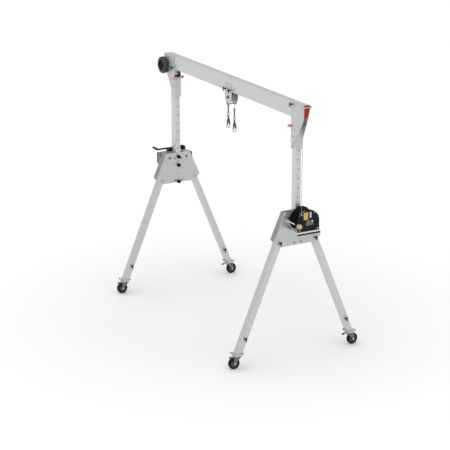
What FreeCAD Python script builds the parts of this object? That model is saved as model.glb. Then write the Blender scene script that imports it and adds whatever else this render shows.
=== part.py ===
"""Portable aluminium gantry crane: a parametric document, one object for each piece.

Frame: +X along the beam towards the winch end, +Y across it, +Z up. The origin is on the floor,
under the middle of the beam. All sizes are in millimetres.
"""
import FreeCAD, Part
import math
import os
import Sketcher
from FreeCAD import Placement, Rotation, Vector

# ---------------------------------------------------------------- driving sizes
SIZES = {
    # the whole crane
    "mast_x": 1333,            # from the middle of the beam to each mast
    "beam_past": 161,          # from each mast to the beam's end, along its top
    "beam_mitre": 24,          # how much shorter the beam's underside is at each end
    "beam_top": 2776,          # height of the beam's top face
    "pin_pitch": 100,          # pitch of the height holes
    # beam: an inverted channel with inward lips
    "beam_high": 157,
    "beam_wide": 76,
    "beam_wall": 5,
    "beam_slot": 50,           # open width between the lips
    "row_pitch": 56,           # pitch of the trolley's pin holes along the beam
    "row_rise": 18,            # height of those holes above the beam's underside
    # masts
    "mast_deep": 80,           # along X
    "mast_wide": 60,           # along Y
    "mast_wall": 4,
    "mast_low": 1282,          # lower end of the mast
    "mast_hole": 14,
    "seat_gap": 0.3,           # between faces that only rest on each other
    # A-frame legs and plates
    "leg_lean": 22.45,         # degrees from vertical
    "leg_wide": 60,
    "leg_top_y": 96,
    "leg_top_z": 1602,
    "leg_foot_z": 166,
    "plate_thick": 5,
    "plate_gap": 1,            # from the tubes to each plate
    "plate_top": 1625,
    "plate_low": 1265,
    "plate_shoulder": 1335,
    "plate_top_half": 155,
    "plate_wide_half": 282,
    "plate_low_half": 215,
    # bolts and pins
    "bolt_shank": 12,
    "bolt_head": 21,
    "bolt_head_thick": 8,
    "bolt_play": 0.3,          # radial
    "pivot_drop": 36,          # of each leg's pivot bolt below the leg's top, along the leg
    "lock_z": 1308,
    "foot_pin_z": 322,
    "grip_bar": 13,
    "grip_long": 48,
    "grip_stand": 26,
    "collar_deep": 6,
    "collar_radius": 10,
    "pin_past": 8,             # how far a pin's tip stands past the work
    "guide_y": 47,             # outer face of the mast's guide blocks
    "guide_tall": 26,
    "guide_gap": 0.5,
    "knob_wide": 40,
    "knob_deep": 24,
    # feet and casters
    "foot_plate_x": 104,
    "foot_plate_y": 112,
    "foot_plate_thick": 8,
    "foot_y": 700,             # kingpin
    "caster_plate_thick": 5,
    "caster_plate_x": 96,
    "caster_plate_y": 104,
    "trail": 37,
    "wheel_radius": 62.5,
    "wheel_wide": 38,
    "hub_radius": 20,
    "hub_wide": 46,
    "axle_radius": 6,
    "race_radius": 36,
    "race_tall": 14,
    "fork_half": 46,           # half the length of the fork's crown
    "fork_crown": 3,
    "fork_wall": 4,
    "fork_gap": 1.5,           # from the hub to each fork cheek
    "running": 0.05,           # radial clearance of a wheel on its axle
    "swivel_gap": 0.3,         # between a caster's plate and its race
    # heads
    "head_plate": 5,
    # heights below are how far each place lies under the beam's top face
    "head_long": 486,
    "head_step": 156,
    "head_back_knee": 376,
    "head_in": 46,             # from the mast to the head plates' inner edge, and to the corners
    "head_tip": -23,           # of their outer edges, from the lowest up
    "head_step_x": 189,
    "head_out_x": 201,
    "head_back_tip": -13,
    "head_back_knee_x": 52,
    "head_back_step_x": 145,
    "head_back_out_x": 193,
    "socket_wall": 6,
    "socket_drop": 92,         # from the beam's underside to the socket and the mast's top
    "lock_off": 19,            # from the mast to the red lock bar
    "lock_drop": 97,           # of that bar below the beam
    "lock_past": 14,           # how far it stands past the beam's sides
    "lock_radius": 11,
    "lock_knob": 17,
    "lock_knob_long": 20,
    "lug_half": 17,
    "lug_wide": 18,
    "left_pin_in": 20,         # each head's pin: how far inside the mast's centre line, and height
    "left_pin_drop": 142,
    "right_pin_in": 30,
    "right_pin_drop": 24,
    "end_bolt_out": 175,       # the bolt past the beam's end, from the mast
    "end_bolt_drop": 24,
    "cap_thick": 5,            # red cap on each beam end
    "cap_inset": 11,           # of its edges from the beam's top and underside
    # ropes and sheaves
    "rope": 6,
    "rope_y": 10,
    "rope_out": 127,           # from the mast's centre line to the upright rope
    "head_sheave": 42,         # to the rope's centre line
    "head_sheave_drop": 92,
    "sheave_rim": 5,           # from the rope's centre line to the sheave's rim
    "sheave_wide": 16,
    "trolley_x": -28,
    "trolley_sheave": 50,
    "trolley_sheave_drop": 226,
    "sheave_axle": 9,
    # trolley
    "cheek_thick": 5,
    "cheek_half": 75,
    "cheek_up": 76,
    "cheek_down": 314,
    "cheek_low_half": 34,
    # hooks
    "left_fall": 324,         # lower end of each rope
    "right_fall": 352,
    "ferrule_long": 86,
    "ferrule_radius": 8,
    "link_long": 58,
    "hook_long": 128,
    "hook_half": 26,           # half the hook's width
    "hook_bar": 12,            # width of the bar that it is bent from
    "hook_thick": 14,
    "stop_radius": 17,
    "gate_y": 8,               # the gate's pin, from the hook's middle and below its neck
    "gate_drop": 40,
    "gate_pin": 2.5,
    "gate_eye": 6,
    "gate_wall": 1.5,
    # winch on the right-hand frame
    "cheek_back_x": 92,        # from the mast to the inner winch cheek
    "cheek_front_x": 247,      # from the mast to the outer winch cheek
    "winch_cheek": 5,
    "arch_radius": 130,
    "arch_z": 1565,
    "winch_low": 1470,
    "drum_radius": 44,
    "flange_radius": 66,
    "drum_z": 1572,
    "drum_shaft": 12,
    "tray_thick": 5,
    "tray_front": 145,
    "tray_back": 136,
    "tray_out": 268,
    "tray_lip": 34,
    "rail_z": 1556,
    "rail_tall": 12,
    "rail_thick": 5,
    "pinion_y": -121,
    "pinion_z": 1538,
    "pinion_radius": 24,
    "pinion_out": 34,
    # retrieval block on the left-hand frame
    "block_front": -185,       # its casing, along Y and up
    "block_back": 0,
    "block_low": 1440,
    "block_top": 1605,
    "block_corner": 45,
    "block_notch_y": -64,      # step in the casing that takes the black gearbox
    "block_notch_z": 1566,
    "block_deep": 84,
    "block_rib": 4,
    "block_rib_thick": 8,
    "block_off": 10,           # from the A-frame plate to the block
    "gearbox_back": 30,
    "gearbox_top": 1650,
    "knob_y": 139,
    "knob_radius": 30,
    "knob_z": 1632,
    "strap_wide": 27,
    "crank_z": 1628,
    "crank_y": 0,
    "crank_out": 170,          # from the mast to the crank's arm
    "crank_arm": 152,
    "crank_grip": 118,
    # transport wheel
    "big_wheel_radius": 97,
    "big_wheel_wide": 52,
    "big_wheel_drop": 141,
    "big_wheel_out": 167,      # axle from the mast
    "big_wheel_gap": 8,
    "big_hub_radius": 58,
    "big_hub_deep": 14,
    "big_boss_radius": 18,
    "big_axle": 10,
}

doc = FreeCAD.newDocument("gantry_crane")
sheet = doc.addObject("Spreadsheet::Sheet", "Sizes")


class Size:
    """A size that is known both as a number and as an expression on the sheet."""

    def __init__(self, value, text):
        self.value = value
        self.text = text

    def join(self, other, sign, value, swap=False):
        pair = (self, as_size(other))
        first, second = pair[::-1] if swap else pair
        return Size(value, f"({first.text} {sign} {second.text})")

    def __add__(self, other):
        return self.join(other, "+", self.value + as_size(other).value)

    __radd__ = __add__

    def __sub__(self, other):
        return self.join(other, "-", self.value - as_size(other).value)

    def __rsub__(self, other):
        return self.join(other, "-", as_size(other).value - self.value, swap=True)

    def __mul__(self, other):
        return self.join(other, "*", self.value * as_size(other).value)

    __rmul__ = __mul__

    def __truediv__(self, other):
        return self.join(other, "/", self.value / as_size(other).value)

    def __neg__(self):
        return self * -1


def as_size(number):
    return number if isinstance(number, Size) else Size(float(number), f"({number})")


def fill_sheet():
    """Write every driving size to its own named cell, and hand the sizes back by name."""
    sizes = {}
    for row, (name, value) in enumerate(SIZES.items(), start=1):
        sheet.set(f"A{row}", name)
        sheet.set(f"B{row}", str(value))
        sheet.setAlias(f"B{row}", name)
        sizes[name] = Size(float(value), f"Sizes.{name}")
    doc.recompute()
    return type("Sizes", (), sizes)


S = fill_sheet()


def sine(angle):
    return Size(math.sin(math.radians(angle.value)), f"sin({angle.text} * 1deg)")


def cosine(angle):
    return Size(math.cos(math.radians(angle.value)), f"cos({angle.text} * 1deg)")


def tangent(angle):
    return Size(math.tan(math.radians(angle.value)), f"tan({angle.text} * 1deg)")


# ---------------------------------------------------------------- ways of making a shape
names = {}                     # running count for helper shapes
nodes = []                     # finished pieces, in order


def fresh(kind, stem):
    """A new document object with a name of its own."""
    names[stem] = names.get(stem, 0) + 1
    return doc.addObject(kind, f"{stem}_{names[stem]}")


def bind(thing, prop, size):
    thing.setExpression(prop, as_size(size).text)


def place(thing, at, turn=None):
    """Put a shape at a point, turned about one axis by a number of degrees."""
    at = [as_size(value) for value in at]
    base = Vector(*[value.value for value in at])
    axis, angle = turn if turn else (Vector(0, 0, 1), as_size(0))
    angle = as_size(angle)
    thing.Placement = Placement(base, Rotation(axis, angle.value))
    for letter, value in zip("xyz", at):
        bind(thing, f"Placement.Base.{letter}", value)
    if turn:
        bind(thing, "Placement.Rotation.Angle", angle)
    return thing


def box(centre, size):
    """A box given by its centre and its three sizes."""
    thing = fresh("Part::Box", "block")
    for prop, value in zip(("Length", "Width", "Height"), size):
        bind(thing, prop, value)
    return place(thing, [c - as_size(d) / 2 for c, d in zip(map(as_size, centre), size)])


TURNS = {"x": (Vector(0, 1, 0), 90), "y": (Vector(1, 0, 0), -90), "z": None}


def rod(start, axis, length, radius):
    """A cylinder that starts at a point and runs along +X, +Y or +Z."""
    thing = fresh("Part::Cylinder", "rod")
    bind(thing, "Radius", radius)
    bind(thing, "Height", length)
    return place(thing, start, TURNS[axis])


def ring(centre, axis, big, small):
    """A torus about X, Y or Z."""
    thing = fresh("Part::Torus", "ring")
    bind(thing, "Radius1", big)
    bind(thing, "Radius2", small)
    return place(thing, centre, TURNS[axis])


def fuse(*parts):
    if len(parts) == 1:
        return parts[0]
    thing = fresh("Part::MultiFuse", "joined")
    thing.Shapes = list(parts)
    return thing


def cut(base, *tools):
    thing = fresh("Part::Cut", "cut")
    thing.Base = base
    thing.Tool = fuse(*tools)
    return thing


def group(*parts):
    """Like pieces that don't touch, kept as solids of one node."""
    if len(parts) == 1:
        return parts[0]
    thing = fresh("Part::Compound", "set")
    thing.Links = list(parts)
    return thing


def finish(label, thing):
    """Name a finished piece: its label is the name of its file."""
    thing.Label = label
    nodes.append(thing)
    return thing


PLANES = {"x": "YZ_Plane", "y": "XZ_Plane", "z": "XY_Plane"}


def new_sketch(body, axis):
    plane = next(f for f in body.Origin.OriginFeatures if f.Role == PLANES[axis])
    sketch = body.newObject("Sketcher::SketchObject", f"{body.Name}_sketch")
    sketch.AttachmentSupport = [(plane, "")]
    sketch.MapMode = "FlatFace"
    return sketch


def pin_point(sketch, geometry, end, point):
    """Hold one end of a sketch line at a point that the sheet gives."""
    for kind, value in zip(("DistanceX", "DistanceY"), map(as_size, point)):
        index = sketch.addConstraint(Sketcher.Constraint(kind, -1, 1, geometry, end, value.value))
        sketch.setExpression(f"Constraints[{index}]", value.text)


def add_outline(sketch, points):
    """A closed outline of straight lines through points that the sheet gives."""
    points = [tuple(map(as_size, point)) for point in points]
    first = sketch.GeometryCount
    count = len(points)
    for index, point in enumerate(points):
        after = points[(index + 1) % count]
        a, b = (Vector(p[0].value, p[1].value, 0) for p in (point, after))
        sketch.addGeometry(Part.LineSegment(a, b), False)
    for index, point in enumerate(points):
        here, before = first + index, first + (index - 1) % count
        sketch.addConstraint(Sketcher.Constraint("Coincident", before, 2, here, 1))
        pin_point(sketch, here, 1, point)


def add_hole(sketch, centre, radius):
    centre = tuple(map(as_size, centre))
    radius = as_size(radius)
    middle = Vector(centre[0].value, centre[1].value, 0)
    here = sketch.addGeometry(Part.Circle(middle, Vector(0, 0, 1), radius.value), False)
    pin_point(sketch, here, 3, centre)
    index = sketch.addConstraint(Sketcher.Constraint("Radius", here, radius.value))
    sketch.setExpression(f"Constraints[{index}]", radius.text)


def prism(axis, outlines, depth, at, holes=(), turn=None):
    """A body: outlines and holes drawn square to an axis, padded both ways along it."""
    body = fresh("PartDesign::Body", "body")
    sketch = new_sketch(body, axis)
    for outline in outlines:
        add_outline(sketch, outline)
    for centre, radius in holes:
        add_hole(sketch, centre, radius)
    pad = body.newObject("PartDesign::Pad", f"{body.Name}_pad")
    pad.Profile = sketch
    bind(pad, "Length", depth)
    pad.Midplane = True
    body.Tip = pad
    return place(body, at, turn)


def rectangle(half_x, half_y):
    return [(-half_x, -half_y), (half_x, -half_y), (half_x, half_y), (-half_x, half_y)]


def tee_pin(face, across, z, side, reach, axis="x"):
    """A quick-release pin: shank into the work, collar, and a black cross bar standing out of it.

    face is the coordinate of the face it goes through along its axis, side is +1 or -1 for the
    way the bar stands, reach is how far the shank goes in, and across is its other level place.
    """
    def spot(along):
        return (along, across, z) if axis == "x" else (across, along, z)

    inner = face - reach if side > 0 else face - S.grip_stand
    shank = rod(spot(inner), axis, reach + S.grip_stand, S.bolt_shank / 2)
    outer = face + S.seat_gap if side > 0 else face - S.seat_gap - S.collar_deep
    collar = rod(spot(outer), axis, S.collar_deep, S.collar_radius)
    bar_x, bar_y, _ = spot(face + side * S.grip_stand)
    grip = rod((bar_x, bar_y, z - S.grip_long / 2), "z", S.grip_long, S.grip_bar / 2)
    return fuse(shank, collar, grip)


# ---------------------------------------------------------------- shared places
beam_low = S.beam_top - S.beam_high
head_low = S.beam_top - S.head_long
head_step_z = S.beam_top - S.head_step
head_back_knee_z = S.beam_top - S.head_back_knee
left_pin_z = S.beam_top - S.left_pin_drop
right_pin_z = S.beam_top - S.right_pin_drop
head_sheave_z = S.beam_top - S.head_sheave_drop
trolley_sheave_z = S.beam_top - S.trolley_sheave_drop
cheek_top = S.beam_top - S.cheek_up
cheek_low = S.beam_top - S.cheek_down
left_drop_z = S.beam_top - S.left_fall
right_drop_z = S.beam_top - S.right_fall
big_wheel_z = S.beam_top - S.big_wheel_drop
beam_end = S.mast_x + S.beam_past
socket_top = beam_low - S.socket_drop
plate_in = S.mast_deep / 2 + S.plate_gap           # from the mast's centre to a plate's inner face
plate_out = plate_in + S.plate_thick
hole_play = S.bolt_shank / 2 + S.bolt_play
caster_top = S.leg_foot_z - S.foot_plate_thick     # underside of the foot plate
swivel_z = caster_top - S.caster_plate_thick
fork_top = swivel_z - S.swivel_gap
leg_slope = tangent(S.leg_lean)


def leg_y(z):
    """Distance of a leg's centre line from the mast's, at a height."""
    return S.leg_top_y + (S.leg_top_z - z) * leg_slope


pivot_y = S.leg_top_y + S.pivot_drop * sine(S.leg_lean)
pivot_z = S.leg_top_z - S.pivot_drop * cosine(S.leg_lean)
lock_y = leg_y(S.lock_z)
foot_pin_y = leg_y(S.foot_pin_z)
lock_x = S.mast_x - S.mast_deep / 2 - S.lock_off
lock_bar_z = beam_low - S.lock_drop


# ---------------------------------------------------------------- A-frames
def side_plates(name, side):
    """The two plates that clamp the legs and carry the mast, with their bores."""
    outline = [(-S.plate_low_half, S.plate_low), (S.plate_low_half, S.plate_low),
               (S.plate_wide_half, S.plate_shoulder), (S.plate_top_half, S.plate_top),
               (-S.plate_top_half, S.plate_top), (-S.plate_wide_half, S.plate_shoulder)]
    holes = []
    for way in (-1, 1):
        holes += [((way * pivot_y, pivot_z), hole_play), ((way * lock_y, S.lock_z), hole_play)]
    for step in range(4):
        holes.append(((0, S.plate_top - S.pin_pitch / 2 - step * S.pin_pitch), hole_play))
    pair = []
    for way in (-1, 1):
        centre = side * S.mast_x + way * (plate_in + S.plate_thick / 2)
        pair.append(prism("x", [outline], S.plate_thick, (centre, 0, 0), holes))
    return finish(f"side_plates_{name}", group(*pair))


def legs(name, side):
    """Two leaning tubes, cut level where they stand on the foot plates."""
    inner = rectangle(S.mast_deep / 2 - S.mast_wall, S.leg_wide / 2 - S.mast_wall)
    outer = rectangle(S.mast_deep / 2, S.leg_wide / 2)
    length = (S.leg_top_z - S.leg_foot_z) / cosine(S.leg_lean) + 2 * S.leg_wide
    x = side * S.mast_x
    pair = []
    for way in (-1, 1):
        half = length / 2
        middle = (x, way * (S.leg_top_y + half * sine(S.leg_lean)),
                  S.leg_top_z - half * cosine(S.leg_lean))
        tube = prism("z", [outer, inner], length, middle, (), (Vector(1, 0, 0), way * S.leg_lean))
        below = box((x, way * S.foot_y, S.leg_foot_z - S.leg_wide * 2),
                    (S.mast_deep * 2, S.leg_wide * 8, S.leg_wide * 4))
        bores = [rod((x - S.mast_deep, way * y, z), "x", S.mast_deep * 2, hole_play)
                 for y, z in ((pivot_y, pivot_z), (lock_y, S.lock_z), (foot_pin_y, S.foot_pin_z))]
        pair.append(cut(tube, below, *bores))
    return finish(f"legs_{name}", group(*pair))


def pivot_bolts(name, side):
    """The bolt that each leg swings on when the frame is folded, with its head and nut."""
    pair = []
    x = side * S.mast_x
    for way in (-1, 1):
        y = way * pivot_y
        shank = rod((x - plate_out - S.bolt_head_thick, y, pivot_z), "x",
                    2 * (plate_out + S.bolt_head_thick), S.bolt_shank / 2)
        heads = [rod((x + start, y, pivot_z), "x", S.bolt_head_thick - S.seat_gap, S.bolt_head / 2)
                 for start in (plate_out + S.seat_gap, -plate_out - S.bolt_head_thick)]
        pair.append(fuse(shank, *heads))
    return finish(f"pivot_bolts_{name}", group(*pair))


def frame_pins(name, side):
    """Quick-release pins: two that lock the legs open, and one near each foot."""
    pins = []
    outer = side * (S.mast_x + plate_out)
    for way in (-1, 1):
        pins.append(tee_pin(outer, way * lock_y, S.lock_z, side,
                            2 * plate_out + S.pin_past))
        face = side * S.mast_x + S.mast_deep / 2
        pins.append(tee_pin(face, way * foot_pin_y, S.foot_pin_z, 1,
                            S.mast_deep + S.pin_past))
    return finish(f"frame_pins_{name}", group(*pins))


def mast_guides(name, side):
    """Four blocks between the plates that keep the mast upright."""
    blocks = []
    inner = S.mast_wide / 2 + S.guide_gap
    for way in (-1, 1):
        for z in (S.plate_top - 69, S.plate_low + 26):
            centre = (side * S.mast_x, way * (inner + S.guide_y) / 2, z)
            blocks.append(box(centre, (2 * plate_in - S.seat_gap, S.guide_y - inner, S.guide_tall)))
    return finish(f"mast_guides_{name}", group(*blocks))


def mast_knobs(name, side):
    """Plunger knobs on the inner plate, in three of its four height holes."""
    face = -side * plate_out + side * S.mast_x
    knobs = []
    for step in (0, 1, 3):
        z = S.plate_top - S.pin_pitch / 2 - step * S.pin_pitch
        away = -side
        start = face + S.seat_gap if away > 0 else face - S.seat_gap - S.knob_deep
        head = rod((start, 0, z), "x", S.knob_deep, S.knob_wide / 2)
        plug_start = face - S.plate_thick if away > 0 else face - S.seat_gap - 1
        plug = rod((plug_start, 0, z), "x", S.plate_thick + S.seat_gap + 1, S.bolt_shank / 2)
        knobs.append(fuse(head, plug))
    return finish(f"mast_knobs_{name}", group(*knobs))


def feet(name, side):
    """Foot plates welded under the legs, and the casters' own top plates bolted below them."""
    plates = []
    x = side * S.mast_x
    for way in (-1, 1):
        foot = box((x, way * S.foot_y, S.leg_foot_z - S.foot_plate_thick / 2),
                   (S.foot_plate_x, S.foot_plate_y, S.foot_plate_thick))
        top = box((x, way * S.foot_y, caster_top - S.caster_plate_thick / 2),
                  (S.caster_plate_x, S.caster_plate_y, S.caster_plate_thick))
        plates.append(fuse(foot, top))
    return finish(f"feet_{name}", group(*plates))


def caster(name, side, way):
    """A swivel caster: a fork that trails outwards, with its brake pedal, and a wheel."""
    x = side * S.mast_x
    king = way * S.foot_y
    axle_y = king + way * S.trail
    radius = S.wheel_radius
    race = rod((x, king, fork_top - S.race_tall), "z", S.race_tall, S.race_radius)
    cheeks = []
    hub_half = S.hub_wide / 2
    outer = hub_half + S.fork_gap
    drop = fork_top - S.race_tall
    crown = box((x, king, drop + S.fork_crown / 2),
                (2 * (outer + S.fork_wall), 2 * S.fork_half, S.fork_crown))
    for hand in (-1, 1):
        outline = [(way * -S.fork_half, drop), (way * -S.fork_half, drop + S.fork_crown),
                   (way * S.fork_half, drop + S.fork_crown), (way * S.fork_half, drop),
                   (way * (S.trail + 12), radius + 4), (way * (S.trail + 6), radius - 13),
                   (way * (S.trail - 6), radius - 13), (way * (S.trail - 10), radius + 4)]
        centre = x + hand * (outer + S.fork_wall / 2)
        cheeks.append(prism("x", [outline], S.fork_wall, (centre, king, 0)))
    axle = rod((x - outer - S.fork_wall - 6, axle_y, radius), "x",
               2 * (outer + S.fork_wall + 6), S.axle_radius)
    pedal = prism("x", [[(-40, drop), (-40, drop + 6), (-92, drop - 12), (-90, drop - 18)]],
                  34, (x, king, 0))
    finish(f"caster_fork_{name}", fuse(race, crown, *cheeks, axle, pedal))
    tyre = rod((x - S.wheel_wide / 2, axle_y, radius), "x", S.wheel_wide, radius)
    hub = rod((x - hub_half, axle_y, radius), "x", S.hub_wide, S.hub_radius)
    bore = rod((x - S.hub_wide, axle_y, radius), "x", 2 * S.hub_wide, S.axle_radius + S.running)
    finish(f"caster_wheel_{name}", cut(fuse(tyre, hub), bore))


# ---------------------------------------------------------------- beam and masts
def beam():
    """Inverted channel with inward lips and mitred ends: its roof, its two walls and its lips."""
    wide, wall, slot = S.beam_wide / 2, S.beam_wall, S.beam_slot / 2
    under_roof = S.beam_top - wall
    roof = [(-wide, under_roof), (wide, under_roof), (wide, S.beam_top), (-wide, S.beam_top)]
    walls, lips = [], []
    for way in (-1, 1):
        walls.append([(way * wide, beam_low), (way * wide, under_roof),
                      (way * (wide - wall), under_roof), (way * (wide - wall), beam_low)])
        lips.append([(way * (wide - wall), beam_low), (way * (wide - wall), beam_low + wall),
                     (way * slot, beam_low + wall), (way * slot, beam_low)])
    across = 2 * S.beam_wide
    bores = []
    for step in (-3, -2, -1, 1, 2, 3):
        x = S.trolley_x + step * S.row_pitch
        bores.append(rod((x, -across / 2, beam_low + S.row_rise), "y", across, hole_play))
    for side in (-1, 1):
        for x, z, radius in beam_bores(side):
            bores.append(rod((x, -across / 2, z), "y", across, radius + S.bolt_play))
    finish("beam_roof", cut(channel_strip(roof), *mitres()))
    finish("beam_walls", group(*[cut(channel_strip(wall), *mitres(), *bores) for wall in walls]))
    finish("beam_lips", group(*[cut(channel_strip(lip), *mitres()) for lip in lips]))


def channel_strip(outline):
    return prism("x", [outline], 2 * beam_end, (0, 0, 0))


def mitres():
    """What is cut away at the beam's ends, so that each slopes back under its top edge."""
    slope = S.beam_mitre / S.beam_high
    wedges = []
    for side in (-1, 1):
        outline = [(side * (beam_end + 10 * slope), S.beam_top + 10),
                   (side * (beam_end - (S.beam_high + 10) * slope), beam_low - 10),
                   (side * (beam_end + 50), beam_low - 10), (side * (beam_end + 50), S.beam_top + 10)]
        wedges.append(prism("y", [outline], 2 * S.beam_wide, (0, 0, 0)))
    return wedges


def beam_bores(side):
    """Places and radii of what crosses the beam at a head: the sheave's axle and the pin."""
    pin = (side * (S.mast_x - S.left_pin_in), left_pin_z) if side < 0 else (
        side * (S.mast_x - S.right_pin_in), right_pin_z)
    return [(side * (S.mast_x + S.rope_out - S.head_sheave), head_sheave_z, S.sheave_axle),
            (*pin, S.bolt_shank / 2)]


def end_bolt(side):
    """The bolt that ties the head plates together just past the beam's end."""
    return (side * (S.mast_x + S.end_bolt_out), S.beam_top - S.end_bolt_drop, S.bolt_shank / 2)


def masts():
    """Telescoping tubes with a height hole every pitch, through both broad faces."""
    length = socket_top - S.mast_low
    outer = rectangle(S.mast_deep / 2, S.mast_wide / 2)
    inner = rectangle(S.mast_deep / 2 - S.mast_wall, S.mast_wide / 2 - S.mast_wall)
    for name, side in (("left", -1), ("right", 1)):
        x = side * S.mast_x
        tube = prism("z", [outer, inner], length, (x, 0, S.mast_low + length / 2))
        top_hole = S.plate_top - S.pin_pitch / 2
        bores = [rod((x - S.mast_deep, 0, top_hole + step * S.pin_pitch), "x",
                     2 * S.mast_deep, S.mast_hole / 2) for step in range(-2, 9)]
        finish(f"mast_{name}", cut(tube, *bores))


def heads():
    """Side plates that hold a beam end, over a socket for the mast with a lug for the lock bar."""
    for name, side in (("left", -1), ("right", 1)):
        x = side * S.mast_x
        crest = S.beam_top - 2
        inner = side * -S.head_in
        front = [(inner, head_low), (side * S.head_tip, head_low),
                 (side * S.head_step_x, head_step_z), (side * S.head_out_x, crest), (inner, crest)]
        back = [(inner, head_low), (side * S.head_back_tip, head_low),
                (side * S.head_back_knee_x, head_back_knee_z),
                (side * S.head_back_step_x, head_step_z), (side * S.head_back_out_x, crest),
                (inner, crest)]
        plates = []
        for way, outline in ((-1, front), (1, back)):
            crossing = beam_bores(side) + [end_bolt(side)]
            if side < 0 and way < 0:
                crossing.append((-(S.mast_x + S.big_wheel_out), big_wheel_z, S.big_axle))
            holes = [((bx, bz), radius + S.bolt_play) for bx, bz, radius in crossing]
            y = way * (S.beam_wide / 2 + S.seat_gap + S.head_plate / 2)
            corners = [(x + along, up) for along, up in outline]
            plates.append(prism("y", [corners], S.head_plate, (0, y, 0), holes))
        tall = socket_top - head_low
        socket = box((x, 0, head_low + tall / 2),
                     (S.mast_deep + 2 * S.socket_wall, S.beam_wide + 2 * S.seat_gap, tall))
        well = box((x, 0, head_low + tall / 2),
                   (S.mast_deep + 2 * S.seat_gap, S.mast_wide + 2 * S.seat_gap, tall * 2))
        finish(f"head_{name}", fuse(cut(fuse(*plates, socket), well), lug(side)))


def lug(side):
    """The eye on the socket's inner wall that the lock bar passes through."""
    tip = lock_x - S.lug_half
    face = S.mast_x - S.mast_deep / 2 - S.socket_wall
    plate = box((side * (tip + face) / 2, 0, lock_bar_z), (face - tip, S.lug_wide, 2 * S.lug_half))
    bore = rod((side * lock_x, -S.lug_wide, lock_bar_z), "y", 2 * S.lug_wide,
               S.lock_radius + S.seat_gap)
    return cut(plate, bore)


def cross_bolt(x, z):
    """A bolt across the beam's width with a head at each side."""
    half = S.beam_wide / 2 + S.head_plate + S.seat_gap
    shank = rod((x, -half - 6, z), "y", 2 * (half + 6), S.bolt_shank / 2)
    ends = [rod((x, start, z), "y", as_size(6) - S.seat_gap, S.bolt_head / 2)
            for start in (half + S.seat_gap, -half - 6)]
    return fuse(shank, *ends)


def head_fittings():
    """Sheaves, their flush axles, the end bolts and the pins of both heads."""
    axles, sheaves, pins = [], [], []
    half = S.beam_wide / 2 + S.head_plate + S.seat_gap
    for side in (-1, 1):
        (x, z, radius), (pin_x, pin_z, _) = beam_bores(side)
        bolt_x, bolt_z, _ = end_bolt(side)
        axles += [rod((x, -half, z), "y", 2 * half, radius), cross_bolt(bolt_x, bolt_z)]
        sheaves.append(sheave(x, -side * S.rope_y, z, S.head_sheave))
        pins.append(tee_pin(-half, pin_x, pin_z, -1,
                            S.beam_wide + 2 * S.head_plate + S.pin_past, "y"))
        pins.append(tee_pin(-half, S.trolley_x + side * S.row_pitch, beam_low + S.row_rise, -1,
                            S.beam_wide + 2 * S.cheek_thick + S.pin_past, "y"))
    finish("head_axles", group(*axles))
    finish("head_sheaves", group(*sheaves))
    finish("beam_pins", group(*pins))


def sheave(x, y, z, radius):
    """A grooved wheel on a Y axle; radius is that of the rope's centre line."""
    rim = radius + S.sheave_rim
    disc = rod((x, y - S.sheave_wide / 2, z), "y", S.sheave_wide, rim)
    groove = ring((x, y, z), "y", radius + 1, S.rope / 2 + 1.3)
    flare = ring((x, y, z), "y", rim + 1, S.rope / 2 + 2)
    bore = rod((x, y - S.sheave_wide, z), "y", 2 * S.sheave_wide, S.sheave_axle + S.running)
    return cut(disc, groove, flare, bore)


def lock_bars():
    """Red bars with knobs that clamp each beam end down, on the inner side of the mast."""
    bars = []
    half = S.beam_wide / 2 + S.lock_past
    for side in (-1, 1):
        x = side * lock_x
        knobs = [rod((x, start, lock_bar_z), "y", S.lock_knob_long, S.lock_knob)
                 for start in (-half - S.lock_knob_long + 4, half - 4)]
        bars.append(fuse(rod((x, -half, lock_bar_z), "y", 2 * half, S.lock_radius), *knobs))
    finish("lock_bars", group(*bars))


def end_caps():
    """Red plates that close the mitred ends of the beam."""
    caps = []
    slope = S.beam_mitre / S.beam_high
    top, low = S.beam_top - S.cap_inset, beam_low + S.cap_inset
    top_x = beam_end - S.cap_inset * slope + S.seat_gap
    low_x = beam_end - (S.beam_high - S.cap_inset) * slope + S.seat_gap
    for side in (-1, 1):
        outline = [(side * low_x, low), (side * (low_x + S.cap_thick), low),
                   (side * (top_x + S.cap_thick), top), (side * top_x, top)]
        caps.append(prism("y", [outline], S.beam_wide, (0, 0, 0)))
    return finish("end_caps", group(*caps))


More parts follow.
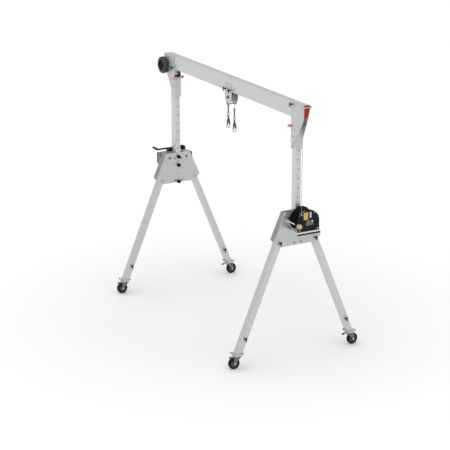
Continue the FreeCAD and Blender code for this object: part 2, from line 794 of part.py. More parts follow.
# ---------------------------------------------------------------- trolley, ropes and hooks
def trolley():
    """Cheeks pinned to the beam, with two sheaves on one axle between them."""
    x = S.trolley_x
    outline = [(x - S.cheek_low_half, cheek_low), (x + S.cheek_low_half, cheek_low),
               (x + S.cheek_half - 6, cheek_low + 62), (x + S.cheek_half, cheek_low + 100),
               (x + S.cheek_half, cheek_top), (x - S.cheek_half, cheek_top),
               (x - S.cheek_half, cheek_low + 100), (x - S.cheek_half + 6, cheek_low + 62)]
    pin_z = beam_low + S.row_rise
    holes = [((x - S.row_pitch, pin_z), hole_play), ((x + S.row_pitch, pin_z), hole_play),
             ((x, trolley_sheave_z), S.sheave_axle + S.bolt_play),
             ((x, cheek_low + 12), hole_play)]
    plates = []
    for way in (-1, 1):
        y = way * (S.beam_wide / 2 + S.seat_gap + S.cheek_thick / 2)
        plates.append(prism("y", [outline], S.cheek_thick, (0, y, 0), holes))
    finish("trolley_cheeks", group(*plates))
    finish("trolley_sheaves", group(*[sheave(x, way * S.rope_y, trolley_sheave_z,
                                             S.trolley_sheave) for way in (-1, 1)]))
    half = S.beam_wide / 2 + S.cheek_thick + S.seat_gap
    rods = []
    for z, radius, head in ((trolley_sheave_z, S.sheave_axle, as_size(16)),
                            (cheek_low + 12, S.bolt_shank / 2, as_size(9))):
        shank = rod((x, -half - 8, z), "y", 2 * (half + 8), radius)
        ends = [rod((x, start, z), "y", as_size(8) - S.seat_gap, head)
                for start in (half + S.seat_gap, -half - 8)]
        rods.append(fuse(shank, *ends))
    finish("trolley_axles", group(*rods))


def rope_run(side):
    """A rope from the side of a head sheave, over it, along the beam and over the trolley sheave."""
    head = Vector((side * (S.mast_x + S.rope_out - S.head_sheave)).value, 0, head_sheave_z.value)
    far = Vector(S.trolley_x.value, 0, trolley_sheave_z.value)
    near_r, far_r = S.head_sheave.value, S.trolley_sheave.value
    line = far - head
    slope = math.atan2(line.z, -side * line.x) + math.asin((far_r - near_r) / line.Length)
    normal = Vector(side * math.sin(slope), 0, math.cos(slope))
    start = head + Vector(side * near_r, 0, 0)
    bisect = (Vector(side, 0, 0) + normal).normalize()
    edges = [Part.Arc(start, head + bisect * near_r, head + normal * near_r).toShape()]
    leave, land = head + normal * near_r, far + normal * far_r
    edges.append(Part.LineSegment(leave, land).toShape())
    down = Vector(-side, 0, 0)
    bisect = (down + normal).normalize()
    edges.append(Part.Arc(land, far + bisect * far_r, far + down * far_r).toShape())
    path = Part.Wire(edges)
    circle = Part.Wire(Part.Circle(start, Vector(0, 0, 1), S.rope.value / 2).toShape())
    shape = path.makePipeShell([circle], True, False)
    thing = fresh("Part::Feature", "rope")
    thing.Shape = shape
    return place(thing, (0, -side * S.rope_y, 0))


def ropes():
    """Both running ropes, the two upright ones and the two that carry the hooks."""
    finish("rope_runs", group(rope_run(-1), rope_run(1)))
    radius = S.rope / 2
    lows = {"left": S.gearbox_top, "right": S.drum_z}
    for name, side in (("left", -1), ("right", 1)):
        x = side * (S.mast_x + S.rope_out)
        low = lows[name]
        finish(f"rope_up_{name}", rod((x, -side * S.rope_y, low), "z",
                                      head_sheave_z - low, radius))
    for name, side, low in (("left", -1, left_drop_z), ("right", 1, right_drop_z)):
        x = S.trolley_x + side * S.trolley_sheave
        finish(f"rope_drop_{name}", rod((x, side * S.rope_y, low), "z",
                                        trolley_sheave_z - low, radius))


def hook(name, side, low, stop):
    """A ferrule and link on the rope's end, and a snap hook that swivels under them."""
    x = S.trolley_x + side * S.trolley_sheave
    y = side * S.rope_y
    link_low = low - S.ferrule_long - S.link_long
    parts = [rod((x, y, low - S.ferrule_long), "z", S.ferrule_long - 0, S.ferrule_radius),
             rod((x, y, link_low + 14), "z", S.link_long - 12, as_size(5))]
    if stop:
        parts.append(rod((x, y, low - 4), "z", as_size(4), S.stop_radius))
    parts.append(rod((x, y, link_low + 8), "z", as_size(8), as_size(10)))
    finish(f"hook_link_{name}", fuse(*parts))
    top = link_low + 8 - S.swivel_gap
    outer, inner = S.hook_half, S.hook_half - S.hook_bar
    bowl_z = top - S.hook_long + outer
    bowl = rod((x - S.hook_thick / 2, y, bowl_z), "x", S.hook_thick, outer)
    hollow = rod((x - S.hook_thick, y, bowl_z), "x", 2 * S.hook_thick, inner)
    above = box((x, y, bowl_z + outer), (2 * S.hook_thick, 4 * outer, 2 * outer))
    nose = box((x, y - outer + S.hook_bar / 2, bowl_z + 8), (S.hook_thick, S.hook_bar, 16))
    spine = prism("x", [[(-9, -12), (9, -12), (15, -30), (outer, -62), (outer, bowl_z - top),
                         (inner, bowl_z - top), (inner, -62), (6, -46), (-14, -46), (-16, -38)]],
                  S.hook_thick, (x, y, top))
    neck = rod((x, y, top - 14), "z", 14, 8)
    bore = rod((x - S.hook_thick, y - S.gate_y, top - S.gate_drop), "x", 2 * S.hook_thick,
               S.gate_pin + S.running)
    finish(f"hook_{name}", cut(fuse(cut(bowl, hollow, above), nose, spine, neck), bore))
    tip = bowl_z + 10 - top
    face = -inner + S.seat_gap
    eye_low = -S.gate_drop - S.gate_eye
    cheek_line = [(-S.gate_y - S.gate_eye, -S.gate_drop), (-S.gate_y + S.gate_eye, -S.gate_drop),
                  (face + 7, tip), (face, tip)]
    sides = []
    for way in (-1, 1):
        at = x + way * (S.hook_thick / 2 + S.seat_gap + S.gate_wall / 2)
        sides.append(prism("x", [cheek_line], S.gate_wall, (at, y, top)))
        sides.append(rod((at - S.gate_wall / 2, y - S.gate_y, top - S.gate_drop), "x",
                         S.gate_wall, S.gate_eye))
    wide = S.hook_thick + 2 * (S.seat_gap + S.gate_wall)
    web = prism("x", [[(-S.gate_y - S.gate_eye, eye_low - 2), (-S.gate_y - S.gate_eye + 2, eye_low - 2),
                       (face + S.gate_wall, tip), (face, tip)]], wide, (x, y, top))
    pin = rod((x - wide / 2, y - S.gate_y, top - S.gate_drop), "x", wide, S.gate_pin)
    finish(f"hook_gate_{name}", fuse(*sides, web, pin))


# ---------------------------------------------------------------- winch, block and wheel
def winch():
    """A winch on a tray, outside the right-hand frame."""
    x0 = S.mast_x
    side_half = S.arch_radius
    cheeks = []
    for out in (S.cheek_back_x, S.cheek_front_x):
        x = x0 + out
        disc = rod((x, 0, S.arch_z), "x", S.winch_cheek, side_half)
        foot = box((x + S.winch_cheek / 2, 0, (S.arch_z + S.winch_low) / 2),
                   (S.winch_cheek, 2 * side_half, S.arch_z - S.winch_low))
        trim = box((x, 0, S.winch_low - 100), (40, 4 * side_half, 200))
        bore = rod((x - 20, drum_y, S.drum_z), "x", as_size(40),
                   S.drum_shaft + S.running)
        hole = rod((x - 20, S.pinion_y, S.pinion_z), "x", as_size(40), as_size(9.3))
        cheeks.append(cut(fuse(disc, foot), trim, bore, hole))
    finish("winch_cheeks", group(*cheeks))
    tray_low = S.winch_low - S.tray_thick
    start = x0 + plate_out
    depth = S.tray_out - plate_out
    middle = start + depth / 2
    wide, mid_y = S.tray_front + S.tray_back, (S.tray_back - S.tray_front) / 2
    floor = box((middle, mid_y, tray_low + S.tray_thick / 2), (depth, wide, S.tray_thick))
    lip = box((x0 + S.tray_out - S.tray_thick / 2, mid_y, S.winch_low - S.tray_lip / 2),
              (S.tray_thick, wide, S.tray_lip))
    back = box((start + S.tray_thick / 2, mid_y, (S.rail_z + tray_low) / 2),
               (S.tray_thick, wide, S.rail_z - tray_low))
    rails = []
    for y in (S.rail_thick / 2 - S.tray_front, S.tray_back - S.rail_thick / 2):
        rails.append(box((middle - 30, y, S.rail_z - S.rail_tall / 2),
                         (depth - 60, S.rail_thick, S.rail_tall)))
        brace = prism("y", [[(0, S.rail_z - 10), (14, S.rail_z - 10), (depth - 50, tray_low + 2),
                             (depth - 66, tray_low + 2)]], S.rail_thick, (start, y, 0))
        rails.append(brace)
    finish("winch_tray", fuse(floor, lip, back, *rails))
    front = x0 + S.cheek_front_x + S.winch_cheek
    back_face = x0 + S.cheek_back_x
    shaft = rod((back_face - 8, S.pinion_y, S.pinion_z), "x", front - back_face + 12, as_size(9))
    cap = rod((front + S.seat_gap, S.pinion_y, S.pinion_z), "x", S.pinion_out, S.pinion_radius)
    gear = rod((back_face + 12, S.pinion_y, S.pinion_z), "x", as_size(22), as_size(18))
    finish("winch_pinion", fuse(shaft, cap, gear))
    drum_len = S.cheek_front_x - S.cheek_back_x - S.winch_cheek - 4
    d0 = back_face + S.winch_cheek + 2
    barrel = rod((d0, drum_y, S.drum_z), "x", drum_len, S.drum_radius)
    f1 = rod((d0, drum_y, S.drum_z), "x", as_size(5), S.flange_radius)
    f2 = rod((d0 + drum_len - 5, drum_y, S.drum_z), "x", as_size(5), S.flange_radius)
    axle = rod((back_face - 8, drum_y, S.drum_z), "x", front - back_face + 16, S.drum_shaft)
    finish("winch_drum", fuse(barrel, f1, f2, axle))


drum_y = S.drum_radius - S.rope_y + S.rope / 2 + S.seat_gap


def block_line(grow):
    """Outline of the block's casing seen along X, grown by its ribs."""
    front, back = S.block_front - grow, S.block_back + grow
    low, top = S.block_low - grow, S.block_top + grow
    notch_y, notch_z = S.block_notch_y - S.block_rib + grow, S.block_notch_z - S.block_rib + grow
    return [(front, top), (front, low + S.block_corner * 1.4),
            (front + S.block_corner * 0.4, low + S.block_corner * 0.5),
            (front + S.block_corner * 1.2, low), (back - S.block_corner * 0.3, low),
            (back, low + S.block_corner * 0.3), (back, notch_z), (notch_y, notch_z), (notch_y, top)]


def block():
    """A ribbed rope block with its gearbox and folding crank, outside the left-hand frame."""
    x0 = -S.mast_x
    inner = x0 - plate_out - S.block_off
    grown = as_size(0)
    case = [prism("x", [block_line(grown)], S.block_deep, (inner - S.block_deep / 2, 0, 0))]
    for step in range(3):
        at = inner - S.block_rib_thick - step * (S.block_deep - 2 * S.block_rib_thick) / 2
        case.append(prism("x", [block_line(S.block_rib)], S.block_rib_thick, (at, 0, 0)))
    finish("block_case", fuse(*case))
    mount = box((inner + S.block_off / 2, (S.block_front + S.block_back) / 2 + 45,
                 (S.block_low + S.block_notch_z) / 2), (S.block_off, 70, 100))
    finish("block_mount", mount)
    front = S.block_notch_y + 4
    low = S.block_notch_z + 4
    gearbox = box((inner - 50, (front + S.gearbox_back) / 2, (low + S.gearbox_top) / 2),
                  (64, S.gearbox_back - front, S.gearbox_top - low))
    shaft = rod((x0 - S.crank_out, S.crank_y, S.crank_z), "x", 60, 10)
    finish("block_head", fuse(gearbox, shaft))
    bar_x = inner - 51
    stem = rod((bar_x, S.gearbox_back + S.seat_gap, S.knob_z), "y",
               S.knob_y - S.gearbox_back, 7)
    knob = rod((bar_x - S.strap_wide / 2 - 5, S.knob_y, S.knob_z), "x", S.strap_wide + 10,
               S.knob_radius)
    strap = prism("x", [[(S.knob_y, 1616), (S.knob_y + 116, 1572), (S.knob_y + 128, 1465),
                         (S.knob_y + 116, 1465), (S.knob_y + 106, 1562), (S.knob_y, 1604)]],
                  S.strap_wide, (bar_x, 0, 0))
    finish("block_bar", fuse(stem, knob, strap))
    hub_x = x0 - S.crank_out
    arm = box((hub_x - S.seat_gap - 5, S.crank_y - S.crank_arm / 2, S.crank_z),
              (10, S.crank_arm + 26, 18))
    grip = rod((hub_x - 6 - S.crank_grip, S.crank_y - S.crank_arm, S.crank_z), "x",
               S.crank_grip, as_size(9))
    finish("crank", fuse(arm, grip))


def transport_wheel():
    """A wheel on a stub axle in the left-hand head, for rolling the folded crane along."""
    x = -(S.mast_x + S.big_wheel_out)
    face = -(S.beam_wide / 2 + S.head_plate + S.seat_gap)
    inner = face - S.big_wheel_gap
    outer = inner - S.big_wheel_wide
    tyre = rod((x, outer, big_wheel_z), "y", S.big_wheel_wide, S.big_wheel_radius)
    bore = rod((x, outer - 10, big_wheel_z), "y", S.big_wheel_wide + 20,
               S.big_axle + S.running)
    recess = cut(rod((x, outer, big_wheel_z), "y", S.big_hub_deep, S.big_hub_radius),
                 rod((x, outer - 10, big_wheel_z), "y", S.big_hub_deep + 20, S.big_boss_radius))
    finish("transport_wheel", cut(tyre, bore, recess))
    long = S.big_wheel_wide + S.big_wheel_gap + S.head_plate + 12
    axle = rod((x, outer, big_wheel_z), "y", long, S.big_axle)
    collar = rod((x, inner + S.seat_gap, big_wheel_z), "y", S.big_wheel_gap - 2 * S.seat_gap,
                 S.big_axle + 8)
    finish("wheel_axle", fuse(axle, collar))


# ---------------------------------------------------------------- the whole crane
def build():
    for name, side in (("left", -1), ("right", 1)):
        side_plates(name, side)
        legs(name, side)
        pivot_bolts(name, side)
        frame_pins(name, side)
        mast_guides(name, side)
        mast_knobs(name, side)
        feet(name, side)
        for end, way in (("front", -1), ("back", 1)):
            caster(f"{name}_{end}", side, way)
    beam()
    masts()
    heads()
    head_fittings()
    lock_bars()
    end_caps()
    trolley()
    ropes()
    hook("left", -1, left_drop_z, False)
    hook("right", 1, right_drop_z, True)
    winch()
    block()
    transport_wheel()


def write():
    """Check every object, then write one file for each piece."""
    doc.recompute()
    for thing in doc.Objects:
        if {"Invalid", "Error"} & set(thing.State):
            raise RuntimeError(f"{thing.Name} ({thing.Label}) failed: {thing.State}")
    os.makedirs("parts", exist_ok=True)
    for thing in nodes:
        shape = thing.Shape
        if shape.isNull() or not shape.isValid() or not shape.Solids:
            raise RuntimeError(f"{thing.Label} has no valid solid")
        shape.exportStep(f"parts/{thing.Label}.step")
        print(f"{thing.Label}: {len(shape.Solids)} solids, {shape.Volume / 1e6:.3f} litres")


build()
write()
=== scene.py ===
"""Looks of a portable aluminium gantry crane, laid out as an add-on and run as a script."""
import math

import bmesh
import bpy
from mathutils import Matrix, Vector


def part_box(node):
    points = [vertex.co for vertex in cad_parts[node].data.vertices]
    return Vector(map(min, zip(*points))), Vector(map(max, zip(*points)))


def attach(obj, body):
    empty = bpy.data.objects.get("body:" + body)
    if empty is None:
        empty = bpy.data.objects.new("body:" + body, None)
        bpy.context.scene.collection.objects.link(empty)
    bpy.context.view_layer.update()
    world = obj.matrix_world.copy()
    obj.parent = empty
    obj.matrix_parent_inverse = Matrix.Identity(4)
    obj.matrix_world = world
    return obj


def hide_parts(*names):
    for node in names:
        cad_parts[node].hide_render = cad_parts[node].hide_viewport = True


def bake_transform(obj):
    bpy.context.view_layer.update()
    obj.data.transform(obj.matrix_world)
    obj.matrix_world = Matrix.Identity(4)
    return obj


bl_info = {
    "name": "Gantry Crane Looks",
    "version": (1, 0, 0),
    "blender": (4, 5, 0),
    "location": "View3D > Sidebar > Crane",
    "description": "Materials and small hardware of a portable gantry crane, and its stage",
    "category": "Object",
}

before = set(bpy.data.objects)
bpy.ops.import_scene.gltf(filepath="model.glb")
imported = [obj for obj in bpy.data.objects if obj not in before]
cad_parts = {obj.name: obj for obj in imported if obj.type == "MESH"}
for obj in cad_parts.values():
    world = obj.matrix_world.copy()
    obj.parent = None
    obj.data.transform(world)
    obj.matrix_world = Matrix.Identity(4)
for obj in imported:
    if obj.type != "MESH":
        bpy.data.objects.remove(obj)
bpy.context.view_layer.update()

SIDES = (("left", -1), ("right", 1))
ENDS = (("front", -1), ("back", 1))
SHARP_EDGE = math.radians(35)
SENSOR_WIDTH = 36.0
MATERIALS = {}


# ---------------------------------------------------------------- shader maths
class Wave:
    """A shader value that can be added, multiplied and so on like a number."""

    def __init__(self, tree, socket):
        self.tree = tree
        self.socket = socket

    def call(self, operation, *others):
        node = self.tree.nodes.new("ShaderNodeMath")
        node.operation = operation
        for slot, value in zip(node.inputs, (self, *others)):
            if isinstance(value, Wave):
                self.tree.links.new(value.socket, slot)
            else:
                slot.default_value = value
        return Wave(self.tree, node.outputs[0])

    def __add__(self, other):
        return self.call("ADD", other)

    __radd__ = __add__

    def __sub__(self, other):
        return self.call("SUBTRACT", other)

    def __rsub__(self, other):
        return (self * -1.0) + other

    def __mul__(self, other):
        return self.call("MULTIPLY", other)

    __rmul__ = __mul__

    def __pow__(self, other):
        return self.call("POWER", other)

    def __abs__(self):
        return self.call("ABSOLUTE")

    def sine(self):
        return self.call("SINE")

    def angle(self, other):
        return self.call("ARCTAN2", other)

    def over(self, other):
        return self.call("GREATER_THAN", other)

    def under(self, other):
        return self.call("LESS_THAN", other)

    def limit(self):
        node = self.tree.nodes.new("ShaderNodeClamp")
        self.tree.links.new(self.socket, node.inputs[0])
        return Wave(self.tree, node.outputs[0])


class Paint:
    """One procedural material: it makes nodes, and connects them to a Principled shader."""

    def __init__(self, name, roughness=0.4, metallic=0.0, coat=0.0, specular=0.5):
        self.material = bpy.data.materials.new(name)
        self.material.use_nodes = True
        self.tree = self.material.node_tree
        self.shader = self.tree.nodes["Principled BSDF"]
        self.shader.inputs["Roughness"].default_value = roughness
        self.shader.inputs["Metallic"].default_value = metallic
        self.shader.inputs["Coat Weight"].default_value = coat
        self.shader.inputs["Specular IOR Level"].default_value = specular

    def node(self, kind, settings=None, **inputs):
        """A node with its settings made first, then its sockets set or linked by name."""
        node = self.tree.nodes.new(kind)
        for key, value in (settings or {}).items():
            setattr(node, key, value)
        for key, value in inputs.items():
            socket = node.inputs[key.replace("_", " ")]
            if isinstance(value, Wave):
                self.tree.links.new(value.socket, socket)
            else:
                socket.default_value = value
        return node

    def wave(self, node, output=0):
        return Wave(self.tree, node.outputs[output])

    def axes(self):
        """Object coordinates in metres, as three values."""
        coordinates = self.node("ShaderNodeTexCoord")
        split = self.node("ShaderNodeSeparateXYZ")
        self.tree.links.new(coordinates.outputs["Object"], split.inputs[0])
        return [self.wave(split, i) for i in range(3)]

    def point(self, x, y, z):
        node = self.node("ShaderNodeCombineXYZ", X=x, Y=y, Z=z)
        return self.wave(node)

    def noise(self, scale, stretch=(1, 1, 1), detail=3.0, roughness=0.55):
        x, y, z = self.axes()
        place = self.point(x * stretch[0], y * stretch[1], z * stretch[2])
        node = self.node("ShaderNodeTexNoise", Vector=place, Scale=scale, Detail=detail,
                         Roughness=roughness)
        return self.wave(node)

    def cells(self, scale):
        x, y, z = self.axes()
        node = self.node("ShaderNodeTexVoronoi", Vector=self.point(x, y, z), Scale=scale)
        return self.wave(node)

    def blend(self, amount, low, high):
        """Between two colours, each a triple or a colour value."""
        node = self.node("ShaderNodeMix", {"data_type": "RGBA"}, Factor=amount)
        for socket, colour in ((node.inputs[6], low), (node.inputs[7], high)):
            if isinstance(colour, Wave):
                self.tree.links.new(colour.socket, socket)
            else:
                socket.default_value = (*colour, 1.0)
        return Wave(self.tree, node.outputs[2])

    def drive(self, name, value):
        """Links a value to one of the shader's own sockets."""
        self.tree.links.new(value.socket, self.shader.inputs[name])

    def bump(self, height, strength=0.3, distance=0.0005):
        node = self.node("ShaderNodeBump", Height=height, Strength=strength, Distance=distance)
        self.tree.links.new(node.outputs[0], self.shader.inputs["Normal"])


# ---------------------------------------------------------------- materials
def painted_head_shade(paint):
    """Where the faces between the head plates, just above the mast, get painted shade: near black, in
    place of the shade in the gap between the plates.
    """
    x, y, z = paint.axes()
    mast_low, mast_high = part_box("mast_right")
    beside = abs(y).under(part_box("beam_roof")[1][1] + 0.0006)
    over_mast = abs(x).under((mast_low[0] + mast_high[0]) / 2 + 0.03)
    return beside * over_mast * z.over(mast_high[2] - 0.004)


def aluminium_paint(name, along, tone, roughness=0.34, painted_shade_mask=None):
    """Anodised extrusion: fine die lines along one axis, faint mottling and handling marks."""
    paint = Paint(name, metallic=0.55)
    stretch = [900.0, 900.0, 900.0]
    stretch["xyz".index(along)] = 4.0
    lines = paint.noise(1.0, stretch, detail=2.0)
    mottle = paint.noise(3.2, detail=4.0)
    marks = paint.noise(38.0, (1, 1, 0.35), detail=5.0, roughness=0.7)
    shade = (mottle - 0.5) * 0.30 + (lines - 0.5) * 0.22 + 0.5
    colour = paint.blend(shade.limit(), (tone * 0.93, tone * 0.945, tone * 0.965),
                         (tone * 1.06, tone * 1.065, tone * 1.07))
    scuff = ((marks - 0.62) * 6.0).limit()
    colour = paint.blend(scuff * 0.35, colour, (0.50, 0.51, 0.53))
    # painted shade: near black on the faces between the head plates above the mast, where the gap lies
    # in shade
    if painted_shade_mask:
        colour = paint.blend(painted_shade_mask(paint), colour, (0.012, 0.012, 0.013))
    paint.drive("Base Color", colour)
    paint.drive("Roughness", ((lines - 0.5) * 0.16 + (marks - 0.5) * 0.20 + roughness).limit())
    paint.bump(lines * 0.6 + marks * 0.4, 0.18, 0.0002)
    return paint.material


def plated_paint(name, low, high, roughness=0.34, metallic=0.85):
    """Zinc plate or bare steel: cloudy, with small bright and dull grains."""
    paint = Paint(name, metallic=metallic)
    cloud = paint.noise(26.0, detail=4.0)
    grain = paint.cells(420.0)
    shade = (cloud - 0.5) * 0.9 + (grain - 0.5) * 0.35 + 0.5
    paint.drive("Base Color", paint.blend(shade.limit(), low, high))
    paint.drive("Roughness", ((grain - 0.5) * 0.18 + (cloud - 0.5) * 0.3 + roughness).limit())
    paint.bump(grain, 0.10, 0.0002)
    return paint.material


def coated_paint(name, colour, worn, roughness, coat, grain=240.0, specular=0.5):
    """Paint or moulded plastic: fine orange-peel, dusty patches and lighter rubbed spots."""
    paint = Paint(name, coat=coat, specular=specular)
    peel = paint.noise(grain, detail=2.0)
    dust = paint.noise(9.0, detail=5.0, roughness=0.65)
    rubbed = ((paint.noise(60.0, detail=4.0, roughness=0.7) - 0.60) * 5.0).limit()
    dusty = tuple(part * 1.25 + 0.004 for part in colour)
    base = paint.blend(((dust - 0.35) * 1.3).limit(), colour, dusty)
    paint.drive("Base Color", paint.blend(rubbed * 0.30, base, worn))
    paint.drive("Roughness", ((dust - 0.5) * 0.25 + rubbed * 0.15 + roughness).limit())
    paint.bump(peel, 0.22, 0.0003)
    return paint.material


def rope_paint(name, centre, pitch=0.042, strands=6):
    """Laid wire rope round a line through centre: bright strands and dark grooves."""
    paint = Paint(name, roughness=0.38, metallic=0.8)
    x, y, z = paint.axes()
    turn = (y - centre[1]).angle(x - centre[0])
    groove = (turn * float(strands) + z * (2 * math.pi * strands / pitch)).sine() * 0.5 + 0.5
    wires = (turn * float(strands * 3) - z * 5200.0).sine() * 0.5 + 0.5
    paint.drive("Base Color", paint.blend((groove * 0.8 + wires * 0.2).limit(),
                                          (0.16, 0.165, 0.17), (0.66, 0.67, 0.68)))
    paint.bump(groove, 0.8, 0.0006)
    return paint.material


def split_paint(name, axis, level, below, above):
    """Plated metal with one finish below a level on an axis and another above it."""
    paint = Paint(name, roughness=0.4, metallic=0.75)
    place = paint.axes()["xyz".index(axis)]
    cloud = paint.noise(30.0, detail=4.0)
    grain = paint.cells(420.0)
    colour = paint.blend(place.over(level), below, above)
    dull = paint.blend(((cloud - 0.45) * 1.6).limit(), colour, (0.25, 0.25, 0.25))
    paint.drive("Base Color", paint.blend(cloud * 0.5, colour, dull))
    paint.drive("Roughness", ((grain - 0.5) * 0.18 + (cloud - 0.5) * 0.3 + 0.4).limit())
    paint.bump(grain, 0.12, 0.0002)
    return paint.material


def hook_paint(name):
    """Forged steel: dark from just above the bowl up over the back and the eye, lighter steel in the
    bowl.
    """
    paint = Paint(f"hook_steel_{name}", roughness=0.36, metallic=0.85)
    z = paint.axes()[2]
    bowl_top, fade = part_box(f"hook_{name}")[0][2] + 0.028, 0.024
    rise = ((z - bowl_top) * (1.0 / fade)).limit()
    scale = paint.noise(70.0, detail=4.0, roughness=0.7)
    steel = paint.blend(scale, (0.40, 0.41, 0.43), (0.60, 0.61, 0.63))
    dark = paint.blend(scale, (0.05, 0.052, 0.06), (0.11, 0.115, 0.125))
    paint.drive("Base Color", paint.blend(rise, steel, dark))
    paint.bump(scale, 0.3, 0.0004)
    return paint.material


def mesh_paint():
    """The rope block's moulded casing: a close grid of ribs and pits in mid grey."""
    paint = Paint("block_casing", roughness=0.5)
    _, y, z = paint.axes()
    closeness = 620.0
    grid = (y * closeness).sine() * (z * closeness).sine() * 0.5 + 0.5
    cloud = paint.noise(18.0, detail=4.0)
    pits = (grid * 0.75 + cloud * 0.25).limit()
    paint.drive("Base Color", paint.blend(pits, (0.10, 0.102, 0.108), (0.33, 0.335, 0.34)))
    paint.drive("Roughness", (cloud * 0.2 + 0.4).limit())
    paint.bump(grid, 0.6, 0.001)
    return paint.material


CAD_FINISH = {
    "beam_roof": "beam_aluminium", "beam_walls": "beam_aluminium", "beam_lips": "beam_aluminium",
    "mast_left": "mast_aluminium", "mast_right": "mast_aluminium",
    "legs_left": "mast_aluminium", "legs_right": "mast_aluminium",
    "side_plates_left": "sheet", "side_plates_right": "sheet", "head_left": "head_sheet",
    "head_right": "head_sheet", "trolley_cheeks": "sheet", "winch_tray": "tray",
    "end_caps": "deep_red", "lock_bars": "salmon", "winch_pinion": "pinion", "block_case": "block_mesh",
    "block_head": "black", "block_bar": "black", "crank": "black", "winch_cheeks": "black",
    "beam_pins": "black", "frame_pins_left": "black", "frame_pins_right": "black",
    "mast_knobs_left": "black_plastic", "mast_knobs_right": "black_plastic",
    "mast_guides_left": "guide_grey", "mast_guides_right": "guide_grey",
    "head_sheaves": "sheave_blue", "trolley_sheaves": "sheave_blue",
    "transport_wheel": "rubber",
}


def make_materials(settings):
    """Every finish by name, and a rope finish for each rope, centred on its own line."""
    made = {
        "beam_aluminium": aluminium_paint("beam_aluminium", "x", settings.beam_tone),
        "mast_aluminium": aluminium_paint("mast_aluminium", "z", settings.mast_tone),
        "sheet": aluminium_paint("sheet_aluminium", "z", settings.sheet_tone, 0.42),
        # the head plates' aluminium, with painted shade in near black between the plates above the mast
        "head_sheet": aluminium_paint("head_aluminium", "z", settings.sheet_tone, 0.42, painted_head_shade),
        "tray": aluminium_paint("tray_aluminium", "y", settings.tray_tone, 0.45),
        "zinc": plated_paint("zinc_plate", (0.42, 0.43, 0.45), (0.68, 0.69, 0.70)),
        "steel": plated_paint("bright_steel", (0.38, 0.39, 0.41), (0.62, 0.63, 0.65), 0.28),
        "brass": plated_paint("dull_brass", (0.42, 0.33, 0.15), (0.72, 0.60, 0.33), 0.36),
        "pinion": split_paint("pinion_shaft", "x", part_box("winch_cheeks")[1][0],
                              (0.012, 0.012, 0.012), (0.60, 0.48, 0.24)),
        "fork": split_paint("fork_plate", "z", 0.136, (0.16, 0.165, 0.17), (0.60, 0.61, 0.62)),
        "black": coated_paint("black_paint", (0.006, 0.0055, 0.005), (0.035, 0.032, 0.03),
                              0.48, 0.0, specular=0.18),
        "black_plastic": coated_paint("black_plastic", (0.006, 0.006, 0.0065), (0.03, 0.03, 0.03),
                                      0.55, 0.0, specular=0.15),
        "block_grey": coated_paint("cast_grey", (0.23, 0.235, 0.24), (0.42, 0.42, 0.43),
                                   0.45, 0.05, grain=120.0),
        "guide_grey": coated_paint("guide_grey", (0.22, 0.225, 0.23), (0.36, 0.36, 0.37), 0.5, 0.0),
        "deep_red": coated_paint("deep_red_paint", tuple(settings.cap_red), (0.5, 0.06, 0.05),
                                 0.4, 0.0, specular=0.2),
        "salmon": coated_paint("faded_red_paint", tuple(settings.bar_red), (0.70, 0.42, 0.38),
                               0.4, 0.2),
        "hook_left": hook_paint("left"),
        "hook_right": hook_paint("right"),
        "block_mesh": mesh_paint(),
        "yellow": coated_paint("yellow_patch", tuple(settings.plate_yellow), (0.75, 0.58, 0.25),
                               0.4, 0.0, specular=0.2),
        "lilac": coated_paint("lilac_strip", tuple(settings.strip_lilac), (0.70, 0.68, 0.80),
                              0.4, 0.1),
        "sheave_blue": coated_paint("sheave_blue", tuple(settings.sheave_blue), (0.5, 0.52, 0.57),
                                    0.4, 0.1),
        "rubber": coated_paint("tyre_rubber", (0.008, 0.008, 0.0085), (0.035, 0.035, 0.035),
                               0.62, 0.0, grain=300.0, specular=0.15),
        "gunmetal_dark": plated_paint("dark_plate", (0.06, 0.062, 0.07), (0.15, 0.155, 0.165), 0.4),
        "olive_grey": coated_paint("olive_grey", (0.13, 0.13, 0.095), (0.3, 0.3, 0.25), 0.45, 0.05),
        "weld": plated_paint("weld_bead", (0.34, 0.345, 0.35), (0.62, 0.63, 0.64), 0.42, 0.8),
        "rope_coil": plated_paint("coiled_rope", (0.22, 0.225, 0.23), (0.55, 0.56, 0.57), 0.38),
        "worn_rubber": coated_paint("worn_rubber", (0.035, 0.036, 0.038), (0.09, 0.09, 0.09),
                                    0.6, 0.0, grain=300.0, specular=0.3),
        "hub": coated_paint("hub_grey", tuple(settings.hub_grey), (0.24, 0.24, 0.24), 0.45, 0.05),
    }
    MATERIALS.update(made)
    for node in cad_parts:
        if node.startswith("rope_"):
            low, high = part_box(node)
            centre = ((low[0] + high[0]) / 2, (low[1] + high[1]) / 2)
            MATERIALS[node] = rope_paint(f"paint_{node}", centre)


def finish_of(node):
    """The name of a CAD node's finish: its own, or that of its kind."""
    if node in CAD_FINISH:
        return CAD_FINISH[node]
    if node.startswith("rope_"):
        return node
    if node.startswith("caster_wheel"):
        return "rubber"
    if node.startswith(("hook_gate", "trolley_axles")):
        return "gunmetal_dark"
    if node.startswith("caster_fork"):
        return "fork"
    if node.startswith(("feet", "block_mount", "hook_link")):
        return "zinc"
    return "steel"


def paint_nodes():
    """Gives every CAD node its procedural material."""
    for name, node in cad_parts.items():
        node.data.materials.clear()
        node.data.materials.append(MATERIALS[finish_of(name)])


# ---------------------------------------------------------------- making pieces
def rounded(profile, share=0.25):
    """A profile with each inner corner taken off by a share of its shorter side."""
    line = [Vector(point) for point in profile]
    result = [line[0]]
    for before, here, after in zip(line, line[1:], line[2:]):
        reach = min((before - here).length, (after - here).length) * share
        result.append(here + (before - here).normalized() * reach)
        result.append(here + (after - here).normalized() * reach)
    return [tuple(point) for point in result + [line[-1]]]


